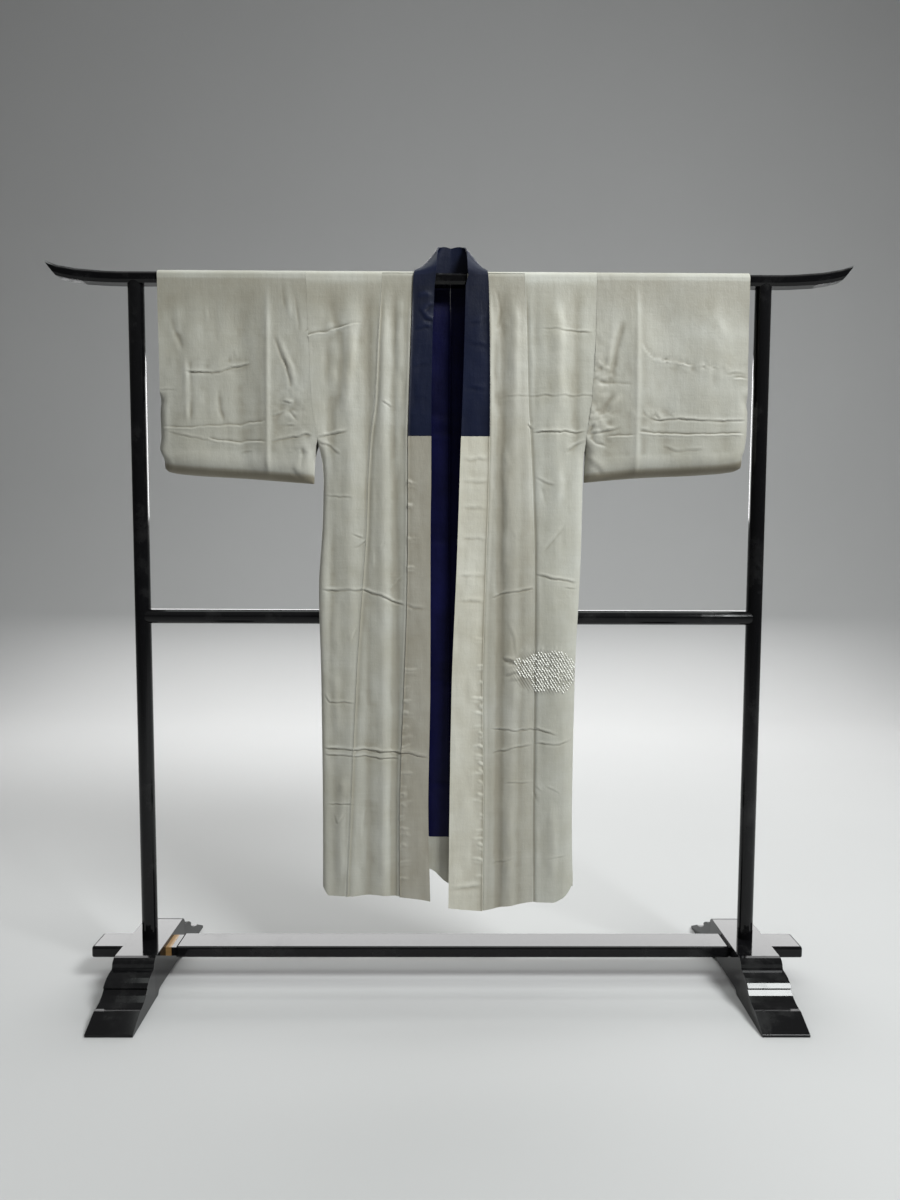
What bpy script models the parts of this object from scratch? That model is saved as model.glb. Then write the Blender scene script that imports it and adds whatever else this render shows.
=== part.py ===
"""Silk kimono hung over the top bar of a lacquered kimono stand.

Units are metres. X runs across the garment, with the wearer's left at +X. Y runs away from
its front, and Z runs up from the floor. The origin is on the floor under the middle of the stand.
Each piece of cloth is an open surface through rows of points, thickened to a wall.
"""

import math

import bmesh
import bpy
import numpy as np
from mathutils import Matrix

# Walls and clearances
GAP = 0.0003
LAYER_GAP = 0.0005
CLOTH_WALL = 0.0016
LINING_WALL = 0.0010
BAND_WALL = 0.0025
COLLAR_WALL = 0.0030
OWN_SEAM = 0.0010

# Stand
POST_X = 0.6955
POST_RADIUS = 0.0175
POST_SIDES = 28
POST_TOP = 1.5900
RAIL_Z = 0.8455
RAIL_RADIUS = 0.0165
RAIL_SIDES = 24
BAR_TOP = 0.087
BAR_THICKNESS = 0.026
BAR_DEPTH = 0.070
BAR_SHOULDER_RIGHT = 0.626
BAR_END_X = 0.818
TENON_THICKNESS = 0.020
TENON_DEPTH = 0.060
FOOT_TOP = 0.0945
FOOT_HALF_WIDTH = 0.046
FOOT_TOE_HALF_WIDTH = 0.0497
FOOT_HALF_LENGTH = 0.2385
FOOT_FLARE_START = 0.100
FOOT_EDGE = 0.0020
BAR_EDGE = 0.0050
CUTTER_REACH = 0.100

# Beam sections along one half: the tip leans out, so its top reaches further than its bottom
BEAM_RUN = {
    "top_x": (0.000, 0.350, 0.660, 0.730, 0.765, 0.824, 0.866, 0.890),
    "bottom_x": (0.000, 0.350, 0.660, 0.730, 0.760, 0.808, 0.845, 0.866),
    "top_z": (1.6060, 1.6060, 1.6060, 1.6060, 1.6072, 1.6120, 1.6195, 1.6280),
    "bottom_z": (1.5810, 1.5810, 1.5810, 1.5810, 1.5818, 1.5845, 1.5905, 1.5960),
}
# Half of the beam's section, from the top edge down: distance from the middle, share of height
BEAM_SECTION = {
    "half_depth": (0.0100, 0.0135, 0.0200, 0.0210, 0.0190, 0.0135),
    "drop": (0.000, 0.030, 0.220, 0.300, 0.760, 1.000),
}

# Long seams of the two fronts: distance from the middle plane at each height
SEAMS = {
    "left": {
        "z": (0.20, 0.43, 0.70, 1.00, 1.15, 1.24, 1.32, 1.46, 1.61),
        "side": (0.2845, 0.280, 0.282, 0.293, 0.2955, 0.2990, 0.310, 0.318, 0.321),
        "gore": (0.191, 0.188, 0.188, 0.186, 0.180, 0.175, 0.170, 0.166, 0.162),
        "band_outer": (0.078, 0.079, 0.076, 0.083, 0.087, 0.088, 0.088, 0.087, 0.083),
        "band_inner": (0.000, 0.002, 0.006, 0.017, 0.021, 0.024, 0.027, 0.031, 0.034),
    },
    "right": {
        "z": (0.20, 0.43, 0.70, 0.91, 1.06, 1.15, 1.24, 1.32, 1.46, 1.61),
        "side": (0.286, 0.285, 0.2865, 0.2905, 0.282, 0.280, 0.2905, 0.303, 0.310, 0.317),
        "gore": (0.229, 0.219, 0.207, 0.193, 0.183, 0.180, 0.174, 0.164, 0.157, 0.149),
        "band_outer": (0.111, 0.110, 0.101, 0.0945, 0.093, 0.093, 0.093, 0.091, 0.087, 0.081),
        "band_inner": (0.041, 0.046, 0.042, 0.042, 0.042, 0.041, 0.041, 0.041, 0.039, 0.033),
    },
}
# How far in front of or behind the beam's middle each layer hangs
BODY_DEPTH = {
    "z": (0.20, 0.60, 0.828, 0.863, 1.00, 1.24, 1.46, 1.598),
    "front": (-0.0480, -0.0475, -0.0460, -0.0458, -0.0445, -0.0400, -0.0335, -0.0232),
    "back": (-0.0175, -0.0182, -0.0185, -0.0185, -0.0110, 0.0030, 0.0155, 0.0248),
}
SLEEVE_DEPTH = {
    "z": (1.14, 1.25, 1.40, 1.598),
    "front": (-0.0350, -0.0340, -0.0305, -0.0232),
    "back": (0.0240, 0.0255, 0.0265, 0.0248),
}
# The way over the beam, from front to back
SHOULDER = {
    "y": (-0.0215, -0.0130, 0.0000, 0.0135, 0.0230),
    "z": (1.6022, 1.6078, 1.6083, 1.6078, 1.6024),
    "neck_x": (0.0720, 0.0755, 0.0775, 0.0785, 0.0790),
}
SHOULDER_Z = 1.598
GORE_TOP = {"y": -0.0221, "z": 1.6010}
NECK_BULGE = 0.0125
NECK_BULGE_HALF_WIDTH = 0.060
NECK_BULGE_DROP = 0.090

# Lower edges: height at each place across, from the wearer's right to the left
FRONT_HEM = {
    "x": (-0.286, -0.270, -0.229, -0.178, -0.113, -0.040, 0.000, 0.076, 0.141, 0.190, 0.243, 0.285),
    "z": (0.234, 0.214, 0.214, 0.217, 0.213, 0.203, 0.188, 0.182, 0.192, 0.199, 0.198, 0.230),
}
BACK_HEM = {
    "x": (-0.286, -0.160, -0.044, 0.000, 0.120, 0.285),
    "z": (0.234, 0.262, 0.265, 0.233, 0.224, 0.230),
}
HEM_SETTLE = 0.12
FACING_Z = 0.341
FACING_LIFT = 0.003

# Sleeves: edges by height, lower edge by distance from the middle plane
ARMPIT_Z = 1.245
SLEEVE_Z = 1.145
SLEEVES = {
    "left": {
        "z": (1.147, 1.190, 1.215, 1.236),
        "free": (0.2990, 0.3000, 0.3010, 0.3005),
        "cuff_z": (1.180, 1.198, 1.2535, 1.300, 1.345, 1.610),
        "cuff": (0.6535, 0.6585, 0.6625, 0.6635, 0.6555, 0.6570),
        "bottom_x": (0.299, 0.428, 0.563, 0.631, 0.651, 0.6590),
        "bottom_z": (1.149, 1.1610, 1.1680, 1.175, 1.183, 1.195),
        "press": 0.411,
    },
    "right": {
        "z": (1.142, 1.190, 1.215, 1.236),
        "free": (0.3020, 0.3000, 0.2965, 0.2940),
        "cuff_z": (1.172, 1.196, 1.237, 1.300, 1.345, 1.610),
        "cuff": (0.6360, 0.6455, 0.6420, 0.6430, 0.6370, 0.6410),
        "bottom_x": (0.304, 0.337, 0.449, 0.583, 0.626, 0.6460),
        "bottom_z": (1.144, 1.1465, 1.1555, 1.1635, 1.170, 1.191),
        "press": 0.400,
    },
}
CUFF_OPEN_Z = 1.345

# Rounded turns of a closed edge: distance in from the edge, share of the way to the middle
SIDE_TURN = {"inset": (0.0220, 0.0090, 0.0025, 0.0000), "pull": (0.05, 0.22, 0.55, 1.00)}
UNDERSIDE_TURN = {"rise": (0.000, 0.0035, 0.0140, 0.0400), "pull": (1.00, 0.66, 0.30, 0.06)}

# Upright folds: distance from the middle plane, how far they stand out, half width
FRONT_FOLDS = {
    "left": {
        "x": (0.112, 0.142, 0.186, 0.235, 0.276),
        "lift": (-0.0040, 0.0030, -0.0018, 0.0030, -0.0020),
        "spread": (0.012, 0.014, 0.010, 0.022, 0.012),
    },
    "right": {
        "x": (0.120, 0.146, 0.180, 0.218, 0.262),
        "lift": (-0.0040, 0.0030, -0.0018, 0.0040, -0.0030),
        "spread": (0.013, 0.013, 0.010, 0.018, 0.014),
    },
}
BACK_FOLDS = {
    "left": {
        "x": (0.055, 0.130, 0.205),
        "lift": (0.0025, -0.0025, 0.0030),
        "spread": (0.022, 0.026, 0.024),
    },
    "right": {
        "x": (0.065, 0.150, 0.225),
        "lift": (0.0030, -0.0030, 0.0025),
        "spread": (0.024, 0.026, 0.022),
    },
}
SLEEVE_FOLDS = {
    "left": {
        "x": (0.411, 0.470, 0.570),
        "lift": (0.0015, -0.0030, 0.0030),
        "spread": (0.007, 0.035, 0.040),
    },
    "right": {
        "x": (0.400, 0.460, 0.560),
        "lift": (0.0015, -0.0030, 0.0035),
        "spread": (0.007, 0.030, 0.040),
    },
}
# Cross folds pressed in by storage: height and tilt, where they run, how far they stand out
BODY_CROSS_FOLDS = {
    "left": {
        "z": (0.600, 0.480, 0.905, 1.055),
        "tilt": (-0.05, 0.02, -0.04, 0.05),
        "start": (0.085, 0.095, 0.200, 0.180),
        "end": (0.270, 0.250, 0.285, 0.240),
        "lift": (0.0030, 0.0020, 0.0025, 0.0025),
    },
    "right": {
        "z": (0.550, 0.428, 0.910, 0.690),
        "tilt": (-0.02, 0.04, 0.10, 0.03),
        "start": (0.120, 0.200, 0.120, 0.200),
        "end": (0.280, 0.280, 0.280, 0.280),
        "lift": (0.0040, 0.0030, 0.0025, 0.0025),
    },
}
SLEEVE_CROSS_FOLDS = {
    "left": {
        "z": (1.410, 1.287, 1.250),
        "tilt": (-0.15, 0.00, 0.00),
        "start": (0.425, 0.420, 0.415),
        "end": (0.535, 0.640, 0.640),
        "lift": (0.0040, 0.0030, 0.0030),
    },
    "right": {
        "z": (1.395, 1.264, 1.234),
        "tilt": (-0.12, 0.00, 0.00),
        "start": (0.440, 0.405, 0.320),
        "end": (0.580, 0.620, 0.540),
        "lift": (0.0040, 0.0030, 0.0030),
    },
}
CROSS_SPREAD = 0.011
CROSS_FADE = 0.020
FOLD_START_DROP = 0.130
RAIL_CALM = 0.100

# Heights over which a closed edge opens, and other short ways from one form to the next
SIDE_CLOSES_OVER = 0.050
SLEEVE_LEAVES_OVER = 0.020
SLEEVE_CLOSES_OVER = 0.045
CUFF_CLOSES_OVER = 0.030
SLEEVE_BLEND = 0.160
PRESS_HALF_WIDTH = 0.010
BAND_COVER = 0.003
BAND_OVERHANG = 0.001
ROW_CLEAR = 0.010

# Rows of points from the lower edge up, and points across each stretch
ARM_LEVELS = (1.215, 1.236, 1.262, 1.290, 1.340, 1.395, 1.420, 1.480, 1.540, 1.598)
FRONT_LEVELS = (
    0.200, 0.225, 0.300, 0.380, 0.428, 0.480, 0.550, 0.600, 0.690, 0.790, 0.910, 0.985, 1.055, 1.120,
    1.170, *ARM_LEVELS,
)
BACK_LEVELS = (
    0.200, 0.225, 0.280, 0.3405, 0.430, 0.520, 0.610, 0.720, 0.828, 0.863, 0.930, 1.010, 1.090, 1.150,
    1.190, *ARM_LEVELS,
)
NECK_STEPS = 2
YOKE_STEPS = 2
PANEL_STEPS = 5
GORE_STEPS = 3
BAND_STEPS = 2
SLEEVE_INNER_STEPS = 2
SLEEVE_OUTER_STEPS = 5

# The collar above the front: its sewn edge and its free edge, from the shoulder to the back
BAND_JOIN_Z = 1.247
NECK_MIDDLE_X = 0.001
COLLAR_TURN = {
    "sewn_x": (0.0815, 0.0800, 0.0790, 0.0782, 0.0775, 0.0757, 0.0660, 0.0400, 0.0000),
    "sewn_y": (-0.0264, -0.0238, -0.0139, 0.0000, 0.0140, 0.0250, 0.0312, 0.0356, 0.0376),
    "sewn_z": (1.5970, 1.6043, 1.6106, 1.6112, 1.6106, 1.6058, 1.6012, 1.5996, 1.5993),
    "free_x": (0.0330, 0.0318, 0.0310, 0.0302, 0.0295, 0.0280, 0.0235, 0.0140, 0.0000),
    "free_y": (-0.0268, -0.0264, -0.0195, -0.0065, 0.0085, 0.0215, 0.0300, 0.0340, 0.0360),
    "free_z": (1.5970, 1.6100, 1.6290, 1.6485, 1.6630, 1.6715, 1.6760, 1.6780, 1.6750),
}
COLLAR_SPREAD = {"left": 1.15, "right": 1.0}
COLLAR_LEVELS = (1.247, 1.300, 1.350, 1.400, 1.450, 1.500, 1.540, 1.575)
COLLAR_STEPS = 3

SIGN = {"left": 1.0, "right": -1.0}

LOOKS = {
    "silk": ((0.46, 0.45, 0.39), 0.55, 0.0),
    "satin": ((0.018, 0.023, 0.055), 0.35, 0.0),
    "lining_silk": ((0.006, 0.006, 0.040), 0.50, 0.0),
    "lacquer": ((0.006, 0.006, 0.006), 0.10, 0.0),
}


def clear_scene():
    for item in list(bpy.data.objects):
        bpy.data.objects.remove(item, do_unlink=True)


def make_look(name):
    colour, roughness, metallic = LOOKS[name]
    look = bpy.data.materials.new(name)
    look.use_nodes = True
    surface = look.node_tree.nodes["Principled BSDF"]
    surface.inputs["Base Color"].default_value = (*colour, 1.0)
    surface.inputs["Roughness"].default_value = roughness
    surface.inputs["Metallic"].default_value = metallic
    return look


def make_collection(name):
    group = bpy.data.collections.new(name)
    bpy.context.scene.collection.children.link(group)
    return group


def add_object(name, form, group, look):
    """Turn a bmesh into a named object in its collection, with its own material."""
    mesh = bpy.data.meshes.new(name)
    form.to_mesh(mesh)
    form.free()
    item = bpy.data.objects.new(name, mesh)
    if look is not None:
        mesh.materials.append(look)
    group.objects.link(item)
    return item


def round_shading(item):
    item.data.shade_smooth()
    item.data.set_sharp_from_angle(angle=math.radians(40.0))


def make_cutter(name, form, cutters):
    cutter = add_object(name, form, cutters, None)
    cutter.hide_render = True
    cutter.display_type = "WIRE"
    return cutter


def cut(item, cutter, operation="DIFFERENCE"):
    change = item.modifiers.new(operation.lower(), "BOOLEAN")
    change.operation = operation
    change.solver = "EXACT"
    change.object = cutter


def smooth_step(value):
    share = np.clip(value, 0.0, 1.0)
    return share * share * (3.0 - 2.0 * share)


def read(table, key, column, place):
    return np.interp(place, table[key], table[column])


# Cloth surfaces

def upright_folds(table, x):
    lift = np.zeros_like(x)
    for middle, height, spread in zip(table["x"], table["lift"], table["spread"]):
        lift += height * np.exp(-(((x - middle) / spread) ** 2))
    return lift


def cross_folds(table, x, z):
    lift = np.zeros_like(x)
    rows = zip(table["z"], table["tilt"], table["start"], table["end"], table["lift"])
    for height, tilt, start, end, most in rows:
        fade = smooth_step((x - start) / CROSS_FADE) * smooth_step((end - x) / CROSS_FADE)
        line = height + tilt * (x - 0.5 * (start + end))
        lift += most * fade * np.exp(-(((z - line) / CROSS_SPREAD) ** 2))
    return lift


def body_base(layer, x, z):
    """The plain hang of a body layer, without its folds."""
    y = read(BODY_DEPTH, "z", layer, z)
    if layer == "back":
        reach = np.exp(-((x / NECK_BULGE_HALF_WIDTH) ** 2))
        y = y + NECK_BULGE * reach * smooth_step(1.0 - (SHOULDER_Z - z) / NECK_BULGE_DROP)
    return y


def body_y(side, layer, x, z):
    """Depth of a body layer's middle surface at distance x from the middle plane."""
    strength = smooth_step((SHOULDER_Z - z) / FOLD_START_DROP)
    if layer == "front":
        lift = upright_folds(FRONT_FOLDS[side], x) + cross_folds(BODY_CROSS_FOLDS[side], x, z)
        return body_base(layer, x, z) - strength * lift
    rail = 1.0 - smooth_step(1.0 - abs(z - RAIL_Z) / RAIL_CALM)
    lift = upright_folds(BACK_FOLDS[side], x) * rail
    return body_base(layer, x, z) + strength * lift


def sleeve_base(side, layer, x, z):
    """A sleeve leaves the body's depth at its seam and takes its own towards the cuff."""
    seam = read(SEAMS[side], "z", "side", z)
    own = smooth_step((x - seam) / SLEEVE_BLEND)
    body = read(BODY_DEPTH, "z", layer, z)
    return body + (read(SLEEVE_DEPTH, "z", layer, z) - body) * own


def sleeve_y(side, layer, x, z):
    strength = smooth_step((SHOULDER_Z - z) / FOLD_START_DROP)
    lift = upright_folds(SLEEVE_FOLDS[side], x) + cross_folds(SLEEVE_CROSS_FOLDS[side], x, z)
    outward = -1.0 if layer == "front" else 1.0
    return sleeve_base(side, layer, x, z) + outward * strength * lift


def hem_z(side, layer, x, level):
    """Lower rows follow the hem's line and fade into level rows above it."""
    table = FRONT_HEM if layer == "front" else BACK_HEM
    hem = read(table, "x", "z", SIGN[side] * x)
    start = FRONT_LEVELS[0]
    share = np.clip(1.0 - (level - start) / HEM_SETTLE, 0.0, 1.0)
    return level + (hem - start) * share


def place(side, x, y, z):
    return np.stack([SIGN[side] * x, y, z], axis=-1)


def moved_out(points, distance, towards):
    """Points of a sheet moved along its normals, to the side that faces towards."""
    along_rows = np.gradient(points, axis=0)
    along_columns = np.gradient(points, axis=1)
    normal = np.cross(along_rows, along_columns)
    normal /= np.linalg.norm(normal, axis=-1, keepdims=True)
    facing = np.sign(normal @ np.array(towards))[..., None]
    return points + normal * facing * distance


def add_sheet(name, points, present, wall, group, look):
    """A grid of points as an open surface, without its missing points, thickened to a wall."""
    rows, columns = points.shape[:2]
    form = bmesh.new()
    bmesh.ops.create_grid(form, x_segments=columns - 1, y_segments=rows - 1, size=0.5)
    form.verts.ensure_lookup_table()
    flat = points.reshape(-1, 3)
    for vertex, point in zip(form.verts, flat):
        vertex.co = point
    missing = [v for v, there in zip(form.verts, present.reshape(-1)) if not there]
    bmesh.ops.delete(form, geom=missing, context="VERTS")
    bmesh.ops.triangulate(form, faces=form.faces, quad_method="FIXED")
    sheet = add_object(name, form, group, look)
    shell = sheet.modifiers.new("wall", "SOLIDIFY")
    shell.thickness = wall
    shell.offset = 0.0
    shell.use_even_offset = True
    round_shading(sheet)
    return sheet


def side_columns(edge, pulls, closed):
    """Distances and pulls of the columns that turn round a closed edge."""
    x = [edge - inset for inset in SIDE_TURN["inset"]]
    pull = [share * closed for share in pulls]
    return x, pull


def body_row(side, layer, level, neck):
    """One row of a body panel from the middle plane to the side seam: distance and pull."""
    if layer == "front":
        gore = read(SEAMS[side], "z", "gore", level) + 0.5 * GAP
    else:
        gore = read(SEAMS[side], "z", "gore", SHOULDER_Z) + 0.5 * GAP
    edge = read(SEAMS[side], "z", "side", level) - 0.5 * GAP
    closed = smooth_step((ARMPIT_Z - level) / SIDE_CLOSES_OVER)
    turn_x, turn_pull = side_columns(edge, SIDE_TURN["pull"], closed)
    middle = np.linspace(0.5 * GAP, neck, NECK_STEPS, endpoint=False)
    yoke = np.linspace(neck, gore, YOKE_STEPS, endpoint=False)
    panel = np.linspace(gore, turn_x[0], PANEL_STEPS, endpoint=False)
    x = np.concatenate([middle, yoke, panel, turn_x])
    pull = np.concatenate([np.zeros(NECK_STEPS + YOKE_STEPS + PANEL_STEPS), turn_pull])
    return x, pull


def pulled(y, middle, pull, layer):
    """Depth after an edge turns in to meet the other layer at their seam."""
    own = middle - OWN_SEAM if layer == "front" else middle + OWN_SEAM
    return y + (own - y) * pull


def body_layer(side, layer, levels, neck):
    rows = []
    for level in levels:
        x, pull = body_row(side, layer, level, neck)
        z = hem_z(side, layer, x, np.full_like(x, level))
        middle = 0.5 * (body_base("front", x, z) + body_base("back", x, z))
        y = pulled(body_y(side, layer, x, z), middle, pull, layer)
        rows.append(place(side, x, y, z))
    return rows


def body_shoulder(side):
    rows = []
    for y, z, neck in zip(SHOULDER["y"], SHOULDER["z"], SHOULDER["neck_x"]):
        x, _ = body_row(side, "back", SHOULDER_Z, neck)
        rows.append(place(side, x, np.full_like(x, y), np.full_like(x, z)))
    return rows


def add_body(side, group, look):
    """Front and back of one side: a single length of cloth over the shoulder."""
    front = body_layer(side, "front", FRONT_LEVELS, SHOULDER["neck_x"][0])
    top = body_shoulder(side)
    back = body_layer(side, "back", BACK_LEVELS[::-1], SHOULDER["neck_x"][-1])
    points = np.array(front + top + back)
    present = np.ones(points.shape[:2], dtype=bool)
    present[: len(front), : NECK_STEPS + YOKE_STEPS] = False
    present[: len(front) + len(top), :NECK_STEPS] = False
    return add_sheet(f"body_{side}", points, present, CLOTH_WALL, group, look)


def front_strip(side, levels, x_from, x_to, steps):
    """Points of the front between two seam lines, each given by a function of the height."""
    rows = []
    for level in levels:
        x = np.linspace(x_from(level), x_to(level), steps + 1)
        z = hem_z(side, "front", x, np.full_like(x, level))
        rows.append(place(side, x, body_y(side, "front", x, z), z))
    return rows


def add_gore(side, group, look):
    """The long strip between the front panel and the collar band, up to the shoulder."""
    seams = SEAMS[side]

    def inner(level):
        return read(seams, "z", "band_inner", level) + BAND_COVER

    def outer(level):
        return read(seams, "z", "gore", level) - 0.5 * GAP

    def under_band(level):
        return read(seams, "z", "band_outer", level)

    covered = np.array(front_strip(side, FRONT_LEVELS, inner, under_band, BAND_STEPS))
    open_part = np.array(front_strip(side, FRONT_LEVELS, under_band, outer, GORE_STEPS))
    points = np.concatenate([covered, open_part[:, 1:]], axis=1)
    last = points[-1].copy()
    last[:, 1] = GORE_TOP["y"]
    last[:, 2] = GORE_TOP["z"]
    points = np.concatenate([points, last[None]])
    present = np.ones(points.shape[:2], dtype=bool)
    return add_sheet(f"gore_{side}", points, present, CLOTH_WALL, group, look)


def band_points(side, levels, wall, steps):
    """The band lies on the front: the front's own points moved out."""
    seams = SEAMS[side]
    strip = front_strip(
        side,
        levels,
        lambda level: read(seams, "z", "band_inner", level),
        lambda level: read(seams, "z", "band_outer", level),
        steps,
    )
    out = 0.5 * CLOTH_WALL + LAYER_GAP + 0.5 * wall
    return moved_out(np.array(strip), out, (0.0, -1.0, 0.0))


def add_band(side, group, look):
    levels = [level for level in FRONT_LEVELS if level < BAND_JOIN_Z - ROW_CLEAR]
    levels.append(BAND_JOIN_Z - GAP)
    points = band_points(side, levels, BAND_WALL, BAND_STEPS)
    points[0, :, 2] -= BAND_OVERHANG
    present = np.ones(points.shape[:2], dtype=bool)
    return add_sheet(f"front_band_{side}", points, present, BAND_WALL, group, look)


def add_collar(group, look):
    """The satin collar: flat on both fronts, turned over the shoulders to stand at the back."""
    turn = COLLAR_TURN
    half = []
    for index in range(len(turn["sewn_x"])):
        sewn = np.array([turn["sewn_x"][index], turn["sewn_y"][index], turn["sewn_z"][index]])
        free = np.array([turn["free_x"][index], turn["free_y"][index], turn["free_z"][index]])
        share = np.linspace(0.0, 1.0, COLLAR_STEPS + 1)[:, None]
        half.append(free + (sewn - free) * share)
    rows = {}
    for side, sign in SIGN.items():
        over = np.array(half)
        spread = np.linspace(COLLAR_SPREAD[side], 1.0, COLLAR_STEPS + 1)
        over[..., 0] = sign * over[..., 0] * spread + NECK_MIDDLE_X
        rows[side] = np.concatenate([band_points(side, COLLAR_LEVELS, COLLAR_WALL, COLLAR_STEPS), over])
    points = np.concatenate([rows["right"], rows["left"][-2::-1]])
    present = np.ones(points.shape[:2], dtype=bool)
    return add_sheet("satin_collar", points, present, COLLAR_WALL, group, look)


def lining_rows(side, levels):
    """The lining or facing lies on the back: the back's own points, short of its turned side."""
    rows = np.array(body_layer(side, "back", levels[::-1], SHOULDER["neck_x"][-1]))
    rows = rows[:, : NECK_STEPS + YOKE_STEPS + PANEL_STEPS + 1]
    inward = 0.5 * CLOTH_WALL + LAYER_GAP + 0.5 * LINING_WALL
    points = moved_out(rows, inward, (0.0, -1.0, 0.0))
    points[:, 0, 0] = SIGN[side] * 0.5 * GAP
    return points


def add_lining(side, group, look):
    levels = [level for level in BACK_LEVELS if level > FACING_Z]
    levels.insert(0, FACING_Z + 0.5 * GAP)
    points = lining_rows(side, levels)
    present = np.ones(points.shape[:2], dtype=bool)
    return add_sheet(f"back_lining_{side}", points, present, LINING_WALL, group, look)


def add_facing(side, group, look):
    levels = [level for level in BACK_LEVELS if level < FACING_Z - ROW_CLEAR]
    levels.append(FACING_Z - 0.5 * GAP)
    points = lining_rows(side, levels)
    points[-1, :, 2] += FACING_LIFT
    present = np.ones(points.shape[:2], dtype=bool)
    return add_sheet(f"hem_facing_{side}", points, present, LINING_WALL, group, look)


def sleeve_edges(side, level):
    """Inner and outer edge of a sleeve, and how far each is closed, at one height."""
    table = SLEEVES[side]
    seam = read(SEAMS[side], "z", "side", level) + 0.5 * GAP
    free = read(table, "z", "free", level)
    below = smooth_step((ARMPIT_Z - level) / SLEEVE_LEAVES_OVER)
    inner = seam + (max(free, seam) - seam) * below
    outer = read(table, "cuff_z", "cuff", level)
    inner_closed = smooth_step((ARMPIT_Z - level) / SLEEVE_CLOSES_OVER)
    outer_closed = smooth_step((CUFF_OPEN_Z - level) / CUFF_CLOSES_OVER)
    return inner, outer, inner_closed, outer_closed


def sleeve_columns(side, level):
    inner, outer, inner_closed, outer_closed = sleeve_edges(side, level)
    insets = np.array(SIDE_TURN["inset"])
    pulls = np.array(SIDE_TURN["pull"])
    press = SLEEVES[side]["press"]
    near = np.linspace(inner + insets[0], press, SLEEVE_INNER_STEPS + 1)[1:-1]
    pressed = press + PRESS_HALF_WIDTH * np.array([-1.0, 0.0, 1.0])
    far = np.linspace(pressed[-1], outer - insets[0], SLEEVE_OUTER_STEPS + 1)[1:-1]
    x = np.concatenate([inner + insets[::-1], near, pressed, far, outer - insets])
    flat = np.zeros(len(near) + len(pressed) + len(far))
    pull = np.concatenate([pulls[::-1] * inner_closed, flat, pulls * outer_closed])
    return x, pull


def sleeve_layer(side, layer):
    """Rows of a sleeve's front or back, from the seam under the sleeve up to the beam."""
    table = SLEEVES[side]
    rises = UNDERSIDE_TURN["rise"]
    levels = [SLEEVE_Z + rise for rise in rises] + list(ARM_LEVELS)
    under = list(UNDERSIDE_TURN["pull"]) + [0.0] * len(ARM_LEVELS)
    rows = []
    for level, under_pull in zip(levels, under):
        x, pull = sleeve_columns(side, level)
        bottom = read(table, "bottom_x", "bottom_z", x)
        share = np.clip(1.0 - (level - SLEEVE_Z) / HEM_SETTLE, 0.0, 1.0)
        z = level + (bottom - SLEEVE_Z) * share
        middle = 0.5 * (sleeve_base(side, "front", x, z) + sleeve_base(side, "back", x, z))
        both = 1.0 - (1.0 - pull) * (1.0 - under_pull)
        y = pulled(sleeve_y(side, layer, x, z), middle, both, layer)
        rows.append(place(side, x, y, z))
    return rows


def add_sleeve(side, group, look):
    """One length of cloth folded over the beam and sewn together under the arm."""
    front = sleeve_layer(side, "front")
    back = sleeve_layer(side, "back")
    x, _ = sleeve_columns(side, SHOULDER_Z)
    top = []
    for y, z in zip(SHOULDER["y"], SHOULDER["z"]):
        top.append(place(side, x, np.full_like(x, y), np.full_like(x, z)))
    points = np.array(front + top + back[::-1])
    present = np.ones(points.shape[:2], dtype=bool)
    return add_sheet(f"sleeve_{side}", points, present, CLOTH_WALL, group, look)


# Stand

def box_form(low, high):
    form = bmesh.new()
    size = [b - a for a, b in zip(low, high)]
    middle = [0.5 * (a + b) for a, b in zip(low, high)]
    matrix = Matrix.Translation(middle) @ Matrix.Diagonal((*size, 1.0))
    bmesh.ops.create_cube(form, size=1.0, matrix=matrix)
    return form


def round_form(radius, length, sides, matrix):
    form = bmesh.new()
    bmesh.ops.create_cone(
        form,
        cap_ends=True,
        segments=sides,
        radius1=radius,
        radius2=radius,
        depth=length,
        matrix=matrix,
    )
    return form


def upright_form(x, radius, bottom, top):
    matrix = Matrix.Translation((x, 0.0, 0.5 * (bottom + top)))
    return round_form(radius, top - bottom, POST_SIDES, matrix)


def soften(item, width):
    edge = item.modifiers.new("edge", "BEVEL")
    edge.width = width
    edge.segments = 2
    edge.limit_method = "ANGLE"
    edge.angle_limit = math.radians(60.0)


def add_beam(group, cutters, look):
    """A loft along the beam: each section has a flat top, slanted shoulders and narrower foot."""
    run = BEAM_RUN
    stations = []
    count = len(run["top_x"])
    for sign, order in ((-1.0, range(count - 1, 0, -1)), (1.0, range(count))):
        for index in order:
            top_x = sign * run["top_x"][index]
            bottom_x = sign * run["bottom_x"][index]
            stations.append((top_x, bottom_x, run["top_z"][index], run["bottom_z"][index]))
    form = bmesh.new()
    rings = []
    half = list(zip(BEAM_SECTION["half_depth"], BEAM_SECTION["drop"]))
    outline = [(-depth, drop) for depth, drop in half]
    outline += [(depth, drop) for depth, drop in reversed(half)]
    for top_x, bottom_x, top_z, bottom_z in stations:
        ring = []
        for depth, drop in outline:
            x = top_x + (bottom_x - top_x) * drop
            z = top_z + (bottom_z - top_z) * drop
            ring.append(form.verts.new((x, depth, z)))
        rings.append(ring)
    for near, far in zip(rings, rings[1:]):
        for index in range(len(outline)):
            following = (index + 1) % len(outline)
            form.faces.new((near[index], near[following], far[following], far[index]))
    form.faces.new(rings[0])
    form.faces.new(list(reversed(rings[-1])))
    bmesh.ops.recalc_face_normals(form, faces=form.faces)
    beam = add_object("beam", form, group, look)
    for side, sign in SIGN.items():
        bottom = POST_TOP - CUTTER_REACH
        socket = upright_form(sign * POST_X, POST_RADIUS + GAP, bottom, POST_TOP + GAP)
        cut(beam, make_cutter(f"post_socket_{side}", socket, cutters))
    round_shading(beam)


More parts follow.
